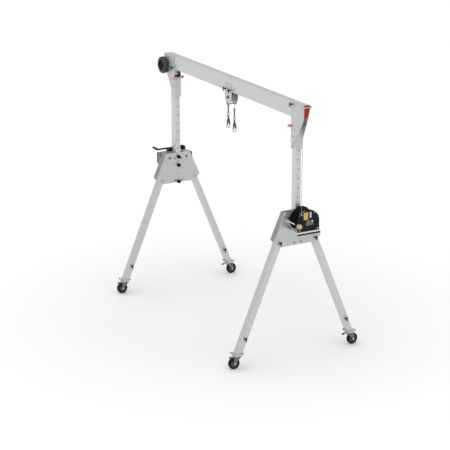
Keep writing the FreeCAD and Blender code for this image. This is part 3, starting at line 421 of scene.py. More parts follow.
class Piece:
    """Gathers the closed solids of one piece, in metres, and makes an object of them."""

    AXES = {"x": lambda along, a, b: (along, a, b), "y": lambda along, a, b: (b, along, a),
            "z": lambda along, a, b: (a, b, along)}

    def __init__(self):
        self.mesh = bmesh.new()

    def skin(self, rings, looped):
        """Faces between rings of points, capped at both ends unless they loop."""
        rows = [[self.mesh.verts.new(point) for point in ring] for ring in rings]
        pairs = list(zip(rows, rows[1:])) + ([(rows[-1], rows[0])] if looped else [])
        for low, high in pairs:
            for i in range(len(low)):
                j = (i + 1) % len(low)
                self.mesh.faces.new((low[i], low[j], high[j], high[i]))
        if not looped:
            self.mesh.faces.new(rows[0])
            self.mesh.faces.new(rows[-1])

    def turned(self, profile, centre, axis, count, looped=False):
        """A profile of (along, radius) turned about an axis through centre."""
        rings = []
        for along, radius in profile:
            ring = []
            for i in range(count):
                turn = 2 * math.pi * (i + 0.5) / count
                spot = self.AXES[axis](along, radius * math.cos(turn), radius * math.sin(turn))
                ring.append(Vector(centre) + Vector(spot))
            rings.append(ring)
        self.skin(rings, looped)

    def slab(self, outline, axis, low, high, edge=0.0):
        """An outline across an axis, from low to high along it, with its far edge eased."""
        centre = Vector((sum(p[0] for p in outline), sum(p[1] for p in outline))) / len(outline)
        levels = [(low, 0.0), (high - edge, 0.0)] + ([(high, edge)] if edge else [])
        rings = []
        for along, ease in levels:
            ring = []
            for point in outline:
                inward = centre - Vector(point)
                spot = Vector(point) + inward.normalized() * ease
                ring.append(Vector(self.AXES[axis](along, spot[0], spot[1])))
            rings.append(ring)
        self.skin(rings, False)

    def swept(self, path, radii, count, looped=False):
        """A round bar along a path, with a radius for the whole of it or for each point."""
        path = [Vector(point) for point in path]
        radii = radii if isinstance(radii, list) else [radii] * len(path)
        rings, side = [], None
        for i, point in enumerate(path):
            ahead = path[(i + 1) % len(path)] if looped or i + 1 < len(path) else point
            behind = path[i - 1] if looped or i else point
            along = (ahead - behind).normalized()
            side = side or along.orthogonal()
            side = (side - along * side.dot(along)).normalized()
            up = along.cross(side)
            rings.append([point + (side * math.cos(2 * math.pi * k / count)
                                   + up * math.sin(2 * math.pi * k / count)) * radii[i]
                          for k in range(count)])
        self.skin(rings, looped)

    def bolt(self, spot, axis, way, size, head, washer=True):
        """A hexagon head on its washer, standing along way on an axis."""
        flat = 0.0016 if washer else 0.0
        if washer:
            self.turned([(0, size * 1.25), (way * flat, size * 1.25)], spot, axis, 24)
        self.turned([(way * flat, size * 0.97), (way * (flat + head * 0.85), size),
                     (way * (flat + head), size * 0.86)], spot, axis, 6)

    def done(self, name, body, material, replaces=()):
        """Turns every face outwards and makes the object."""
        bmesh.ops.recalc_face_normals(self.mesh, faces=self.mesh.faces)
        mesh = bpy.data.meshes.new(name)
        self.mesh.to_mesh(mesh)
        self.mesh.free()
        return settle(name, mesh, body, material, replaces)


def settle(name, mesh, body, material, replaces=()):
    """Shades a finished mesh, gives it its material, links it, and ties it to its body, if it has one.
    """
    mesh.materials.clear()
    mesh.materials.append(MATERIALS[material])
    mesh.shade_smooth()
    mesh.set_sharp_from_angle(angle=SHARP_EDGE)
    thing = bpy.data.objects.new(name, mesh)
    bpy.context.collection.objects.link(thing)
    if body:
        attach(thing, body)
    if replaces:
        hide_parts(*replaces)
    return thing


def repeat_tree():
    """Geometry nodes that set a small piece on every point, rolled at random about its own axis."""
    tree = bpy.data.node_groups.new("pieces_on_points", "GeometryNodeTree")
    inputs = (("Points", "NodeSocketGeometry"), ("Piece", "NodeSocketObject"),
              ("Roll", "NodeSocketFloat"), ("Seed", "NodeSocketInt"),
              ("Finish", "NodeSocketMaterial"))
    for name, kind in inputs:
        tree.interface.new_socket(name, in_out="INPUT", socket_type=kind)
    tree.interface.new_socket("Geometry", in_out="OUTPUT", socket_type="NodeSocketGeometry")
    node = {kind: tree.nodes.new(kind) for kind in (
        "NodeGroupInput", "NodeGroupOutput", "GeometryNodeObjectInfo", "GeometryNodeInstanceOnPoints",
        "FunctionNodeRandomValue", "ShaderNodeCombineXYZ", "GeometryNodeRotateInstances",
        "GeometryNodeRealizeInstances", "GeometryNodeSetMaterial")}
    group = node["NodeGroupInput"].outputs
    info, spread = node["GeometryNodeObjectInfo"], node["GeometryNodeInstanceOnPoints"]
    chance, roll = node["FunctionNodeRandomValue"], node["GeometryNodeRotateInstances"]
    real, paint = node["GeometryNodeRealizeInstances"], node["GeometryNodeSetMaterial"]
    tree.links.new(group["Points"], spread.inputs["Points"])
    tree.links.new(group["Piece"], info.inputs["Object"])
    tree.links.new(info.outputs["Geometry"], spread.inputs["Instance"])
    tree.links.new(group["Roll"], chance.inputs[3])
    tree.links.new(group["Seed"], chance.inputs["Seed"])
    tree.links.new(chance.outputs[1], node["ShaderNodeCombineXYZ"].inputs["Z"])
    tree.links.new(spread.outputs[0], roll.inputs["Instances"])
    tree.links.new(node["ShaderNodeCombineXYZ"].outputs[0], roll.inputs["Rotation"])
    tree.links.new(roll.outputs[0], real.inputs["Geometry"])
    tree.links.new(real.outputs[0], paint.inputs["Geometry"])
    tree.links.new(group["Finish"], paint.inputs["Material"])
    tree.links.new(paint.outputs[0], node["NodeGroupOutput"].inputs[0])
    return tree


def repeat(name, body, material, points, piece, roll, seed):
    """Copies of a small upright piece at many points, as one plain mesh."""
    tree = bpy.data.node_groups.get("pieces_on_points") or repeat_tree()
    bmesh.ops.recalc_face_normals(piece.mesh, faces=piece.mesh.faces)
    small = bpy.data.meshes.new(name + "_unit")
    piece.mesh.to_mesh(small)
    unit = bpy.data.objects.new(name + "_unit", small)
    cloud = bpy.data.meshes.new(name + "_points")
    cloud.from_pydata([tuple(point) for point in points], [], [])
    carrier = bpy.data.objects.new(name + "_points", cloud)
    bpy.context.collection.objects.link(carrier)
    modifier = carrier.modifiers.new("repeat", "NODES")
    modifier.node_group = tree
    values = {"Piece": unit, "Roll": roll, "Seed": seed, "Finish": MATERIALS[material]}
    for item in tree.interface.items_tree:
        if item.in_out == "INPUT" and item.name in values:
            modifier[item.identifier] = values[item.name]
    shape = carrier.evaluated_get(bpy.context.evaluated_depsgraph_get())
    mesh = bpy.data.meshes.new_from_object(shape)
    mesh.name = name
    carrier.modifiers.remove(modifier)
    bpy.data.objects.remove(carrier)
    bpy.data.objects.remove(unit)
    return settle(name, mesh, body, material)


def mirrored(side):
    """A wheel's profile from its left face to its middle, carried on to its right face."""
    return side + [(-along, away) for along, away in reversed(side[:-1])]


def rectangle(low, high):
    """The four corners between a low and a high corner."""
    return [low, (high[0], low[1]), high, (low[0], high[1])]


def middle(node):
    """The middle of a CAD node's box."""
    low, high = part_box(node)
    return (Vector(low) + Vector(high)) / 2


# ---------------------------------------------------------------- hardware of the A-frames
def plate_hardware(name, settings):
    """Hexagon bolts and washers on both faces of a frame's plates."""
    low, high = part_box(f"side_plates_{name}")
    faces = ((low[0], -1), (high[0], 1))
    pin_low, pin_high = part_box(f"pivot_bolts_{name}")
    head = (pin_high[2] - pin_low[2]) / 2
    pivot_y, pivot_z = pin_high[1] - head, (pin_low[2] + pin_high[2]) / 2
    past, shank, thread, thread_past = 0.004, 0.006, 0.0062, 0.0095
    pivots = Piece()
    for way in (-1, 1):
        spot = (0, way * pivot_y, pivot_z)
        pivots.turned([(low[0] - past, shank), (high[0] + past, shank)], spot, "x", 16)
        for face, out in faces:
            pivots.bolt((face, *spot[1:]), "x", out, head * 1.08, 0.0065)
            pivots.turned([(0, thread), (out * thread_past, thread),
                           (out * (thread_past + 0.0005), thread - 0.001)],
                          (face, *spot[1:]), "x", 16)
    pivots.done(f"pivot_hexagons_{name}", f"{name}_frame", "gunmetal_dark",
                [f"pivot_bolts_{name}"])
    guide_y, upper_in, lower_in = 0.0405, 0.069, 0.026
    guides = Piece()
    for z in (high[2] - upper_in, low[2] + lower_in):
        for way in (-1, 1):
            for face, out in faces:
                guides.bolt((face, way * guide_y, z), "x", out, settings.guide_bolt, 0.005)
    guides.done(f"guide_bolts_{name}", f"{name}_frame", "gunmetal_dark")


def foot_hardware(name, settings):
    """Bolts at the corners of each foot plate, and the weld bead round each leg's foot."""
    low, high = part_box(f"feet_{name}")
    leg_low, leg_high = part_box(f"legs_{name}")
    mid = (low[0] + high[0]) / 2
    corner_x, corner_y = (high[0] - low[0]) / 2 - 0.0065, 0.0488
    kingpin_in, leg_wide = 0.056, 0.0652
    outer, inner = leg_high[1] + 0.0005, leg_high[1] - leg_wide
    half_x = (leg_high[0] - leg_low[0]) / 2 + 0.001
    bead_z = high[2] + 0.001
    along, across = 15, 19
    corners, bead = [], []
    for way in (-1, 1):
        foot = way * (high[1] - kingpin_in)
        for dx in (-corner_x, corner_x):
            for dy in (-corner_y, corner_y):
                corners.append((mid + dx, foot + dy, high[2]))
        for i in range(along + 1):
            y = inner + (outer - inner) * i / along
            bead += [(mid - half_x, way * y, bead_z), (mid + half_x, way * y, bead_z)]
        for i in range(1, across):
            x = mid - half_x + 2 * half_x * i / across
            bead += [(x, way * outer, bead_z), (x, way * inner, bead_z)]
    unit = Piece()
    unit.bolt((0, 0, 0), "z", 1, settings.foot_bolt, 0.005)
    repeat(f"foot_bolts_{name}", f"{name}_frame", "gunmetal_dark", corners, unit, 1.0, 5)
    unit = Piece()
    unit.turned([(-0.002, 0.0012), (-0.001, 0.0026), (0.0006, 0.0030), (0.0018, 0.0022),
                 (0.0024, 0.0008)], (0, 0, 0), "z", 10)
    repeat(f"foot_welds_{name}", f"{name}_frame", "weld", bead, unit, 3.0, 9)


# ---------------------------------------------------------------- wheels
def caster(name, way):
    """A rounded rubber tyre on a dished hub, with nuts on the axle's ends and the kingpin."""
    wheel = f"caster_wheel_{name}"
    centre = middle(wheel)
    low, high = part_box(wheel)
    radius, half, wide = (high[2] - low[2]) / 2, 0.019, (high[0] - low[0]) / 2
    tyre = Piece()
    tyre.turned(mirrored([(-half, radius * 0.66), (-half, radius * 0.90),
                          (-half * 0.86, radius * 0.965), (-half * 0.52, radius * 0.995),
                          (0.0, radius)]), centre, "x", 64, True)
    tyre.done(f"tyre_{name}", f"wheel_{name}", "rubber", [wheel])
    hub = Piece()
    hub.turned(mirrored([(-wide, 0.0064), (-wide, 0.0165), (-wide * 0.93, 0.0185),
                         (-half * 0.45, 0.0205), (-half * 0.40, radius * 0.55),
                         (-half * 0.80, radius * 0.60), (-half * 0.86, radius * 0.665),
                         (0.0, radius * 0.67)]), centre, "x", 48, True)
    spokes = 6
    for i in range(spokes):
        turn = 2 * math.pi * i / spokes
        out = Vector((0, math.cos(turn), math.sin(turn)))
        hub.swept([centre + out * 0.019, centre + out * radius * 0.58], 0.0042, 8)
    hub.done(f"wheel_hub_{name}", f"wheel_{name}", "hub")
    fork_face, trail = 0.0285, 0.037
    nuts = Piece()
    for end, out in ((centre[0] - fork_face, -1), (centre[0] + fork_face, 1)):
        nuts.bolt((end, centre[1], centre[2]), "x", out, 0.0098, 0.0052)
    plate_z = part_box(f"caster_fork_{name}")[1][2] - 0.0145
    nuts.turned([(0, 0.013), (0.004, 0.013), (0.0055, 0.009)],
                (centre[0], way * (abs(centre[1]) - trail), plate_z), "z", 6)
    nuts.done(f"axle_nuts_{name}", f"caster_{name}", "steel")


def beam_wheel():
    """The beam's transport wheel: a rounded tyre round a dished, ribbed disc with a boss."""
    low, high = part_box("transport_wheel")
    centre = middle("transport_wheel")
    radius, half = (high[2] - low[2]) / 2, (high[1] - low[1]) / 2
    tyre = Piece()
    tyre.turned(mirrored([(-half, radius * 0.62), (-half, radius * 0.88),
                          (-half * 0.90, radius * 0.94), (-half * 0.70, radius * 0.985),
                          (-half * 0.3, radius), (0.0, radius)]), centre, "y", 80, True)
    tyre.done("beam_wheel_tyre", "transport_wheel", "worn_rubber", ["transport_wheel"])
    disc = Piece()
    disc.turned(mirrored([(-half, 0.0102), (-half, 0.0165), (-half * 0.95, 0.0180),
                          (-half * 0.48, 0.0205), (-half * 0.42, radius * 0.56),
                          (-half * 0.94, radius * 0.59), (-half * 0.97, radius * 0.625),
                          (0.0, radius * 0.63)]), centre, "y", 64, True)
    disc.turned([(-half * 1.04, 0.007), (-half * 1.02, 0.013), (-half * 0.98, 0.0135)],
                centre, "y", 28)
    ribs = 8
    for i in range(ribs):
        turn = 2 * math.pi * i / ribs
        out = Vector((math.cos(turn), 0, math.sin(turn)))
        disc.swept([centre + out * 0.018, centre + out * radius * 0.58], 0.0075, 8)
    disc.done("beam_wheel_disc", "transport_wheel", "black_plastic")


# ---------------------------------------------------------------- winch and rope block
def drum_rope(settings):
    """One layer of rope wound on the drum from cheek to cheek."""
    axle = middle("winch_drum")
    pitch, lay, steps = 0.0063, 0.0472, 24
    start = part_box("winch_cheeks")[0][0] + 0.005 + 0.012
    path = []
    for i in range(settings.drum_turns * steps):
        turn = 2 * math.pi * i / steps
        path.append((start + pitch * i / steps, axle[1] + lay * math.cos(turn),
                     axle[2] + lay * math.sin(turn)))
    coil = Piece()
    coil.swept(path, settings.drum_rope, 8)
    coil.done("drum_rope", "winch_drum", "rope_coil")


def winch_details():
    """Nuts, studs, pawl, blank plates, pinion collar and tray edge of the winch."""
    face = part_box("winch_cheeks")[1][0]
    drum_low, drum_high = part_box("winch_drum")
    axle = middle("winch_drum")
    level = round(axle[2], 3)
    nuts = Piece()
    for end, out in ((drum_high[0] - 0.003, 1), (drum_low[0] + 0.003, -1)):
        nuts.bolt((end, axle[1], axle[2]), "x", out, 0.0145, 0.004, False)
    nuts.done("drum_nuts", "winch_drum", "steel")
    studs = Piece()
    for y, up in ((-0.108, -0.087), (0.108, -0.087), (-0.082, 0.078), (0.066, 0.090)):
        studs.bolt((face, y, level + up), "x", 1, 0.0065, 0.0045)
    studs.done("winch_studs", "right_frame", "steel")
    pawl = Piece()
    outline = [(-0.036, -0.040), (-0.020, -0.045), (0.050, -0.036), (0.054, -0.020),
               (0.020, -0.006), (0.004, 0.018), (-0.016, 0.020), (-0.034, 0.0)]
    pawl.slab([(y, level + up) for y, up in outline], "x", face, face + 0.009, 0.002)
    pawl.turned([(0, 0.017), (0.016, 0.017), (0.019, 0.013)], (face, -0.012, level - 0.012), "x", 24)
    lever = ((0.013, 0.010, -0.016), (0.016, 0.030, -0.012), (0.018, 0.050, -0.026))
    pawl.swept([(face + out, y, level + up) for out, y, up in lever], 0.0045, 10)
    pawl.done("winch_pawl", "right_frame", "olive_grey")
    for title, low, high, finish in (
            ("winch_blank_plate", (-0.060, 0.021), (-0.008, 0.100), "yellow"),
            ("winch_blank_strip", (0.011, 0.037), (0.032, 0.098), "lilac")):
        plate = Piece()
        plate.slab(rectangle((low[0], level + low[1]), (high[0], level + high[1])), "x",
                   face, face + 0.0012, 0.0004)
        plate.done(title, "right_frame", finish)
    cap = middle("winch_pinion")
    collar = Piece()
    collar.turned([(0, 0.0258), (0.004, 0.0262), (0.010, 0.0262), (0.014, 0.0258)],
                  (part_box("winch_pinion")[1][0] - 0.030, cap[1], cap[2]), "x", 20)
    collar.done("pinion_collar", "right_frame", "brass")
    tray_low, tray_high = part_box("winch_tray")
    edge = Piece()
    edge.slab(rectangle((tray_low[1] + 0.002, tray_low[2] + 0.001),
                        (tray_high[1] - 0.002, tray_low[2] + 0.019)),
              "x", tray_high[0], tray_high[0] + 0.001, 0.0003)
    edge.done("tray_edge_strip", "right_frame", "black")


def block_details():
    """Screws and a lid on the rope block, and the crank's ribbed grip."""
    low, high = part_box("block_case")
    face = low[0]
    screws = Piece()
    for y, z in ((low[1] + 0.022, high[2] - 0.020), (low[1] + 0.105, high[2] - 0.020),
                 (low[1] + 0.022, low[2] + 0.082), (high[1] - 0.022, low[2] + 0.022),
                 (high[1] - 0.022, low[2] + 0.110)):
        screws.bolt((face, y, z), "x", -1, 0.0055, 0.004)
    screws.done("block_screws", "left_frame", "steel")
    lid = Piece()
    lid.slab([(low[1] + 0.020, low[2] + 0.080), (low[1] + 0.058, low[2] + 0.028),
              (high[1] - 0.030, low[2] + 0.028), (high[1] - 0.030, low[2] + 0.108),
              (high[1] - 0.086, low[2] + 0.122), (high[1] - 0.086, high[2] - 0.028),
              (low[1] + 0.020, high[2] - 0.028)], "x", face, face - 0.003, -0.001)
    lid.done("block_lid", "left_frame", "block_grey")
    crank_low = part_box("crank")[0]
    grip = Piece()
    ribs, rib_pitch = 9, 0.0105
    profile = [(0.0, 0.0095)]
    for i in range(ribs):
        at = 0.008 + i * rib_pitch
        profile += [(at, 0.0128), (at + 0.006, 0.0132), (at + 0.0085, 0.0112)]
    profile += [(0.104, 0.0128), (0.110, 0.009)]
    grip.turned(profile, (crank_low[0], crank_low[1] + 0.009, middle("crank")[2]), "x", 28)
    grip.done("crank_sleeve", "crank", "black_plastic")


# ---------------------------------------------------------------- ropes, hooks and heads
def taut_rope(node, steps):
    """A taut rope, a straight round bar from the bottom to the top of its CAD node."""
    low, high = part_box(node)
    x, y, _ = middle(node)
    radius = (high[0] - low[0]) / 2
    rope = Piece()
    rope.turned([(low[2] + (high[2] - low[2]) * i / steps, radius) for i in range(steps + 1)],
                (x, y, 0), "z", 12)
    thing = rope.done(node.replace("rope", "wire_rope"), None, node, [node])
    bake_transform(thing)


def hook_set(name):
    """Ferrule, two-bar link and swivel eye on the rope, over a forged hook."""
    low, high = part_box(f"hook_link_{name}")
    x, y, _ = middle(f"hook_link_{name}")
    top = high[2]
    link = Piece()
    link.turned(rounded([(-0.086, 0.0050), (-0.084, 0.0080), (-0.004, 0.0080), (0.0, 0.0050)]),
                (x, y, top), "z", 24)
    half, bend, steps = 0.0095, 0.006, 12
    crown, base = top - 0.092 - 0.004, low[2] + 0.012 + bend
    path = []
    for start, z in ((0.0, crown), (math.pi, base)):
        for i in range(steps + 1):
            turn = start + math.pi * i / steps
            path.append((x, y + half * math.cos(turn), z + bend * math.sin(turn)))
    link.swept(path, 0.0042, 10, True)
    link.turned(rounded([(0.0, 0.0060), (0.001, 0.0100), (0.009, 0.0100), (0.012, 0.0055)]),
                (x, y, low[2]), "z", 24)
    if name == "right":
        stop = [(-0.0055, 0.0060), (-0.0050, 0.0168), (-0.0005, 0.0168), (0.0, 0.0060)]
        link.turned(rounded(stop), (x, y, top), "z", 28)
    link.done(f"rope_link_{name}", f"{name}_link", "gunmetal_dark", [f"hook_link_{name}"])
    forged_hook(name, x, y)


def forged_hook(name, x, y):
    """A bar swept from the eye down the back and round the bowl, thinning to the tip."""
    low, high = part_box(f"hook_{name}")
    top = high[2]
    spots = [(0, top, 0.0085), (0, top - 0.010, 0.0090), (0.001, top - 0.022, 0.0125),
             (0.006, top - 0.040, 0.0125), (0.0135, top - 0.060, 0.0100),
             (0.0185, top - 0.080, 0.0078)]
    bowl, bowl_radius, steps = low[2] + 0.026, 0.0195, 14
    for i in range(steps + 1):
        turn = -math.pi * i / steps
        thin = abs(i - steps / 2) / (steps / 2)
        spots.append((bowl_radius * math.cos(turn), bowl + bowl_radius * math.sin(turn),
                      0.0066 - 0.0012 * thin))
    spots += [(-0.0192, bowl + 0.008, 0.0050), (-0.0190, bowl + 0.0145, 0.0036)]
    hook = Piece()
    hook.swept([(x, y + along, up) for along, up, _ in spots], [spot[2] for spot in spots], 16)
    hook.done(f"forged_hook_{name}", f"{name}_hook", f"hook_{name}", [f"hook_{name}"])


def head_details(name, side):
    """Screws of a head, and a hexagon end on its bolt."""
    low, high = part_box(f"head_{name}")
    mast_low, mast_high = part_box(f"mast_{name}")
    mast_x = (mast_low[0] + mast_high[0]) / 2
    screws = Piece()
    for face, out in ((low[1], -1), (high[1], 1)):
        for dx, up in ((-0.028, 0.017), (-0.028, 0.130), (-0.028, 0.205), (0.012, 0.130),
                       (0.030, 0.205)):
            screws.bolt((mast_x + side * dx, face, low[2] + up), "y", out, 0.0058, 0.0035, False)
    screws.done(f"head_screws_{name}", "beam", "gunmetal_dark")
    nut = Piece()
    bolt_low, bolt_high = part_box("head_axles")
    bolt_x = side * (max(abs(bolt_low[0]), bolt_high[0]) - 0.0105)
    spot = (bolt_x, bolt_high[1], high[2] - 0.022)
    nut.turned([(0, 0.0060), (0.016, 0.0060), (0.0175, 0.0048)], spot, "y", 18)
    nut.bolt(spot, "y", 1, 0.0106, 0.009)
    nut.done(f"end_nut_{name}", "beam", "steel")


def trolley_details():
    """Dark axle ends and washers on the trolley's cheeks."""
    low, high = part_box("trolley_axles")
    cheek_low, cheek_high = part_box("trolley_cheeks")
    x = middle("trolley_axles")[0]
    ends = Piece()
    for face, out in ((cheek_low[1], -1), (cheek_high[1], 1)):
        for z, size in ((high[2] - 0.016, 0.0185), (low[2] + 0.009, 0.0125)):
            ends.turned([(0, size), (out * 0.0018, size), (out * 0.0022, size * 0.9)],
                        (x, face, z), "y", 28)
    for end, out in ((low[1], -1), (high[1], 1)):
        ends.turned([(-out * 0.001, 0.0105), (out * 0.001, 0.0105), (out * 0.0016, 0.009)],
                    (x, end, high[2] - 0.016), "y", 24)
    ends.done("trolley_washers", "beam", "gunmetal_dark")


# ---------------------------------------------------------------- stage
def floor_paint():
    """A pale, faintly mottled floor with painted shade round the crane: darker near it, lightening away
    from it.
    """
    paint = Paint("studio_floor", roughness=0.55, specular=0.2)
    x, y, _ = paint.axes()
    cloud = paint.noise(1.4, detail=3.0)
    # painted shade of the crane: the floor's colour stays darker within 1.2 m of the middle and
    # lightens out to about 4 m
    far = (((x * x + y * y) ** 0.5 - 1.2) * 0.36).limit()
    painted_shade_floor = paint.blend(cloud, (0.775, 0.775, 0.777), (0.795, 0.795, 0.796))
    paint.drive("Base Color", paint.blend(far, painted_shade_floor, (0.90, 0.90, 0.90)))
    return paint.material


def studio_floor(settings):
    """A flat floor that runs far past the crane on every side, in rings that widen outwards."""
    mesh = bpy.data.meshes.new("floor")
    grid = bmesh.new()
    rings, count = 12, 48
    centre = grid.verts.new((0.0, 0.0, 0.0))
    before = None
    for ring in range(1, rings + 1):
        reach = settings.floor_size * (ring / rings) ** 2
        row = [grid.verts.new((reach * math.cos(2 * math.pi * i / count),
                               reach * math.sin(2 * math.pi * i / count), 0.0))
               for i in range(count)]
        for i in range(count):
            j = (i + 1) % count
            if before:
                grid.faces.new((before[i], row[i], row[j], before[j]))
            else:
                grid.faces.new((centre, row[i], row[j]))
        before = row
    grid.to_mesh(mesh)
    grid.free()
    floor = bpy.data.objects.new("floor", mesh)
    bpy.context.collection.objects.link(floor)
    mesh.materials.append(floor_paint())


def soft_sun(name, bearing, height, width, strength):
    """A very wide sun: even light over the whole floor, with shadows that are soft all over."""
    lamp = bpy.data.lights.new(name, "SUN")
    lamp.angle = math.radians(width)
    lamp.energy = strength
    light = bpy.data.objects.new(name, lamp)
    bpy.context.collection.objects.link(light)
    turn, up = math.radians(bearing), math.radians(height)
    source = Vector((math.sin(turn) * math.cos(up), -math.cos(turn) * math.cos(up), math.sin(up)))
    light.rotation_euler = source.to_track_quat("Z", "Y").to_euler()


def camera(settings):
    """A camera that looks at its target from a bearing, a height and a distance."""
    lens = bpy.data.cameras.new("camera")
    lens.lens = settings.lens
    lens.sensor_width = SENSOR_WIDTH
    lens.clip_end = 200.0
    eye = bpy.data.objects.new("camera", lens)
    bpy.context.collection.objects.link(eye)
    azimuth = math.radians(settings.camera_azimuth)
    height = math.radians(settings.camera_elevation)
    back = Vector((math.sin(azimuth) * math.cos(height), -math.cos(azimuth) * math.cos(height),
                   math.sin(height)))
    target = Vector(settings.camera_target)
    eye.location = target + back * settings.camera_distance
    eye.rotation_euler = (-back).to_track_quat("-Z", "Y").to_euler()
    bpy.context.scene.camera = eye


def studio(settings):
    """An even white sky, one soft sun to the camera's left, the floor and the camera."""
    world = bpy.data.worlds.new("studio")
    bpy.context.scene.world = world
    world.use_nodes = True
    world.node_tree.nodes["Background"].inputs[0].default_value = (1.0, 1.0, 1.0, 1.0)
    world.node_tree.nodes["Background"].inputs[1].default_value = settings.sky
    studio_floor(settings)
    soft_sun("overhead", settings.camera_azimuth - 40.0, 72.0, 100.0, settings.sun)
    bpy.context.scene.view_settings.view_transform = "Standard"
    camera(settings)


# ---------------------------------------------------------------- add-on
def colour(name, description, default):
    return bpy.props.FloatVectorProperty(name=name, description=description, default=default,
                                         size=3, subtype="COLOR", min=0.0, max=1.0)


def length(name, description, default):
    return bpy.props.FloatProperty(name=name, description=description, default=default,
                                   min=0.0, unit="LENGTH", precision=4)


def tone(name, description, default):
    return bpy.props.FloatProperty(name=name, description=description, default=default,
                                   min=0.0, max=0.9, subtype="FACTOR")


class CraneSettings(bpy.types.PropertyGroup):
    """Colours and sizes of the fittings, and the stage's light and camera."""

    beam_tone: tone("Beam tone", "Brightness of the beam's aluminium", 0.56)
    mast_tone: tone("Mast tone", "Brightness of the masts' and legs' aluminium", 0.57)
    sheet_tone: tone("Sheet tone", "Brightness of the plates' aluminium", 0.53)
    tray_tone: tone("Tray tone", "Brightness of the winch tray's aluminium", 0.72)
    cap_red: colour("Cap red", "Colour of the beam's end caps", (0.42, 0.012, 0.012))
    bar_red: colour("Bar red", "Colour of the lock bars", (0.60, 0.26, 0.24))
    sheave_blue: colour("Sheave blue", "Colour of the sheaves", (0.32, 0.35, 0.43))
    plate_yellow: colour("Plate yellow", "Colour of the winch's blank plate", (0.60, 0.38, 0.06))
    strip_lilac: colour("Strip lilac", "Colour of the winch's blank strip", (0.55, 0.52, 0.72))
    hub_grey: colour("Hub grey", "Colour of the casters' hubs", (0.075, 0.076, 0.08))
    guide_bolt: length("Guide bolt", "Radius of the mast guides' bolt heads", 0.0072)
    foot_bolt: length("Foot bolt", "Radius of the foot plates' bolt heads", 0.0058)
    drum_rope: length("Drum rope", "Radius of the rope on the drum", 0.003)
    drum_turns: bpy.props.IntProperty(
        name="Drum turns", description="Turns of rope on the drum", default=21, min=1, max=21)
    camera_azimuth: bpy.props.FloatProperty(
        name="Camera azimuth", description="Degrees round the crane from its long side",
        default=60.7267, min=-360.0, max=360.0)
    camera_elevation: bpy.props.FloatProperty(
        name="Camera elevation", description="Degrees above the horizon",
        default=17.6665, min=-89.0, max=89.0)
    camera_distance: bpy.props.FloatProperty(
        name="Camera distance", description="From the camera to the point that it looks at",
        default=18.2648, min=1.0, unit="LENGTH")
    camera_target: bpy.props.FloatVectorProperty(
        name="Camera target", description="The point that the camera looks at",
        default=(0.2863, -0.2560, 1.2122), size=3, subtype="TRANSLATION")
    lens: bpy.props.FloatProperty(
        name="Lens", description="Focal length in millimetres on a 36 mm sensor",
        default=134.056, min=10.0)
    floor_size: bpy.props.FloatProperty(
        name="Floor size", description="Radius of the studio floor",
        default=90.0, min=5.0, unit="LENGTH")
    sky: bpy.props.FloatProperty(
        name="Sky", description="Strength of the even light from all round",
        default=0.62, min=0.0)
    sun: bpy.props.FloatProperty(
        name="Sun", description="Strength of the one soft sun", default=1.9, min=0.0)


class CRANE_OT_finishes(bpy.types.Operator):
    """Makes the materials and gives each CAD node its own"""
    bl_idname = "crane.finishes"
    bl_label = "Finishes"

    def execute(self, context):
        make_materials(context.scene.crane_settings)
        paint_nodes()
        return {"FINISHED"}


class CRANE_OT_plates(bpy.types.Operator):
    """Bolts and washers on the A-frame plates"""
    bl_idname = "crane.plates"
    bl_label = "Plate hardware"

    def execute(self, context):
        for name, _ in SIDES:
            plate_hardware(name, context.scene.crane_settings)
        return {"FINISHED"}


class CRANE_OT_feet(bpy.types.Operator):
    """Bolts and weld beads on the feet"""
    bl_idname = "crane.feet"
    bl_label = "Foot hardware"

    def execute(self, context):
        for name, _ in SIDES:
            foot_hardware(name, context.scene.crane_settings)
        return {"FINISHED"}


class CRANE_OT_casters(bpy.types.Operator):
    """Tyres, hubs and axle nuts of the casters"""
    bl_idname = "crane.casters"
    bl_label = "Casters"

    def execute(self, context):
        for name, _ in SIDES:
            for end, way in ENDS:
                caster(f"{name}_{end}", way)
        return {"FINISHED"}


class CRANE_OT_beam_wheel(bpy.types.Operator):
    """Tyre and disc of the beam's transport wheel"""
    bl_idname = "crane.beam_wheel"
    bl_label = "Transport wheel"

    def execute(self, context):
        beam_wheel()
        return {"FINISHED"}


class CRANE_OT_winch(bpy.types.Operator):
    """Rope, pawl, nuts and blank plates of the winch"""
    bl_idname = "crane.winch"
    bl_label = "Winch"

    def execute(self, context):
        drum_rope(context.scene.crane_settings)
        winch_details()
        return {"FINISHED"}


class CRANE_OT_block(bpy.types.Operator):
    """Lid, screws and crank grip of the rope block"""
    bl_idname = "crane.block"
    bl_label = "Rope block"

    def execute(self, context):
        block_details()
        return {"FINISHED"}


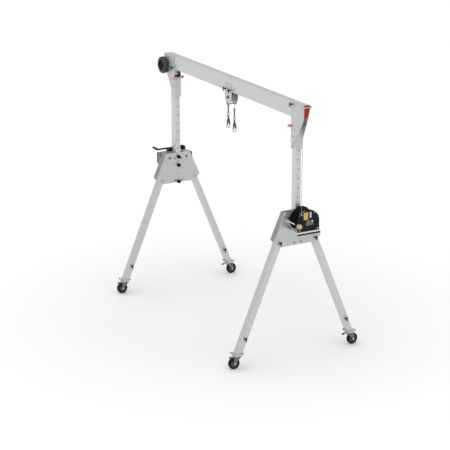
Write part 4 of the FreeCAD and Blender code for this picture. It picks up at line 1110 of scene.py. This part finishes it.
class CRANE_OT_ropes(bpy.types.Operator):
    """Upright and hanging ropes"""
    bl_idname = "crane.ropes"
    bl_label = "Ropes"

    def execute(self, context):
        for name, _ in SIDES:
            taut_rope(f"rope_up_{name}", 48)
            taut_rope(f"rope_drop_{name}", 24)
        return {"FINISHED"}


class CRANE_OT_hooks(bpy.types.Operator):
    """Links and forged hooks on the ropes"""
    bl_idname = "crane.hooks"
    bl_label = "Hooks"

    def execute(self, context):
        for name, _ in SIDES:
            hook_set(name)
        return {"FINISHED"}


class CRANE_OT_heads(bpy.types.Operator):
    """Screws of the heads, and the trolley's washers"""
    bl_idname = "crane.heads"
    bl_label = "Heads and trolley"

    def execute(self, context):
        for name, side in SIDES:
            head_details(name, side)
        trolley_details()
        return {"FINISHED"}


class CRANE_OT_stage(bpy.types.Operator):
    """Makes the floor, the lights and the camera"""
    bl_idname = "crane.stage"
    bl_label = "Stage"

    def execute(self, context):
        studio(context.scene.crane_settings)
        return {"FINISHED"}


class CRANE_PT_panel(bpy.types.Panel):
    """Settings of the crane, and a button for each step"""
    bl_idname = "CRANE_PT_panel"
    bl_label = "Gantry Crane"
    bl_space_type = "VIEW_3D"
    bl_region_type = "UI"
    bl_category = "Crane"

    def draw(self, context):
        for name in CraneSettings.__annotations__:
            self.layout.prop(context.scene.crane_settings, name)
        for step in STEPS:
            self.layout.operator(step.bl_idname)


STEPS = (CRANE_OT_finishes, CRANE_OT_plates, CRANE_OT_feet, CRANE_OT_casters,
         CRANE_OT_beam_wheel, CRANE_OT_winch, CRANE_OT_block, CRANE_OT_ropes, CRANE_OT_hooks,
         CRANE_OT_heads, CRANE_OT_stage)
CLASSES = (CraneSettings, *STEPS, CRANE_PT_panel)


def register():
    for item in CLASSES:
        bpy.utils.register_class(item)
    bpy.types.Scene.crane_settings = bpy.props.PointerProperty(type=CraneSettings)


def unregister():
    del bpy.types.Scene.crane_settings
    for item in reversed(CLASSES):
        bpy.utils.unregister_class(item)


def main():
    """Makes everything in order."""
    register()
    for step in STEPS:
        group, name = step.bl_idname.split(".")
        getattr(getattr(bpy.ops, group), name)()


if __name__ == "__main__":
    main()
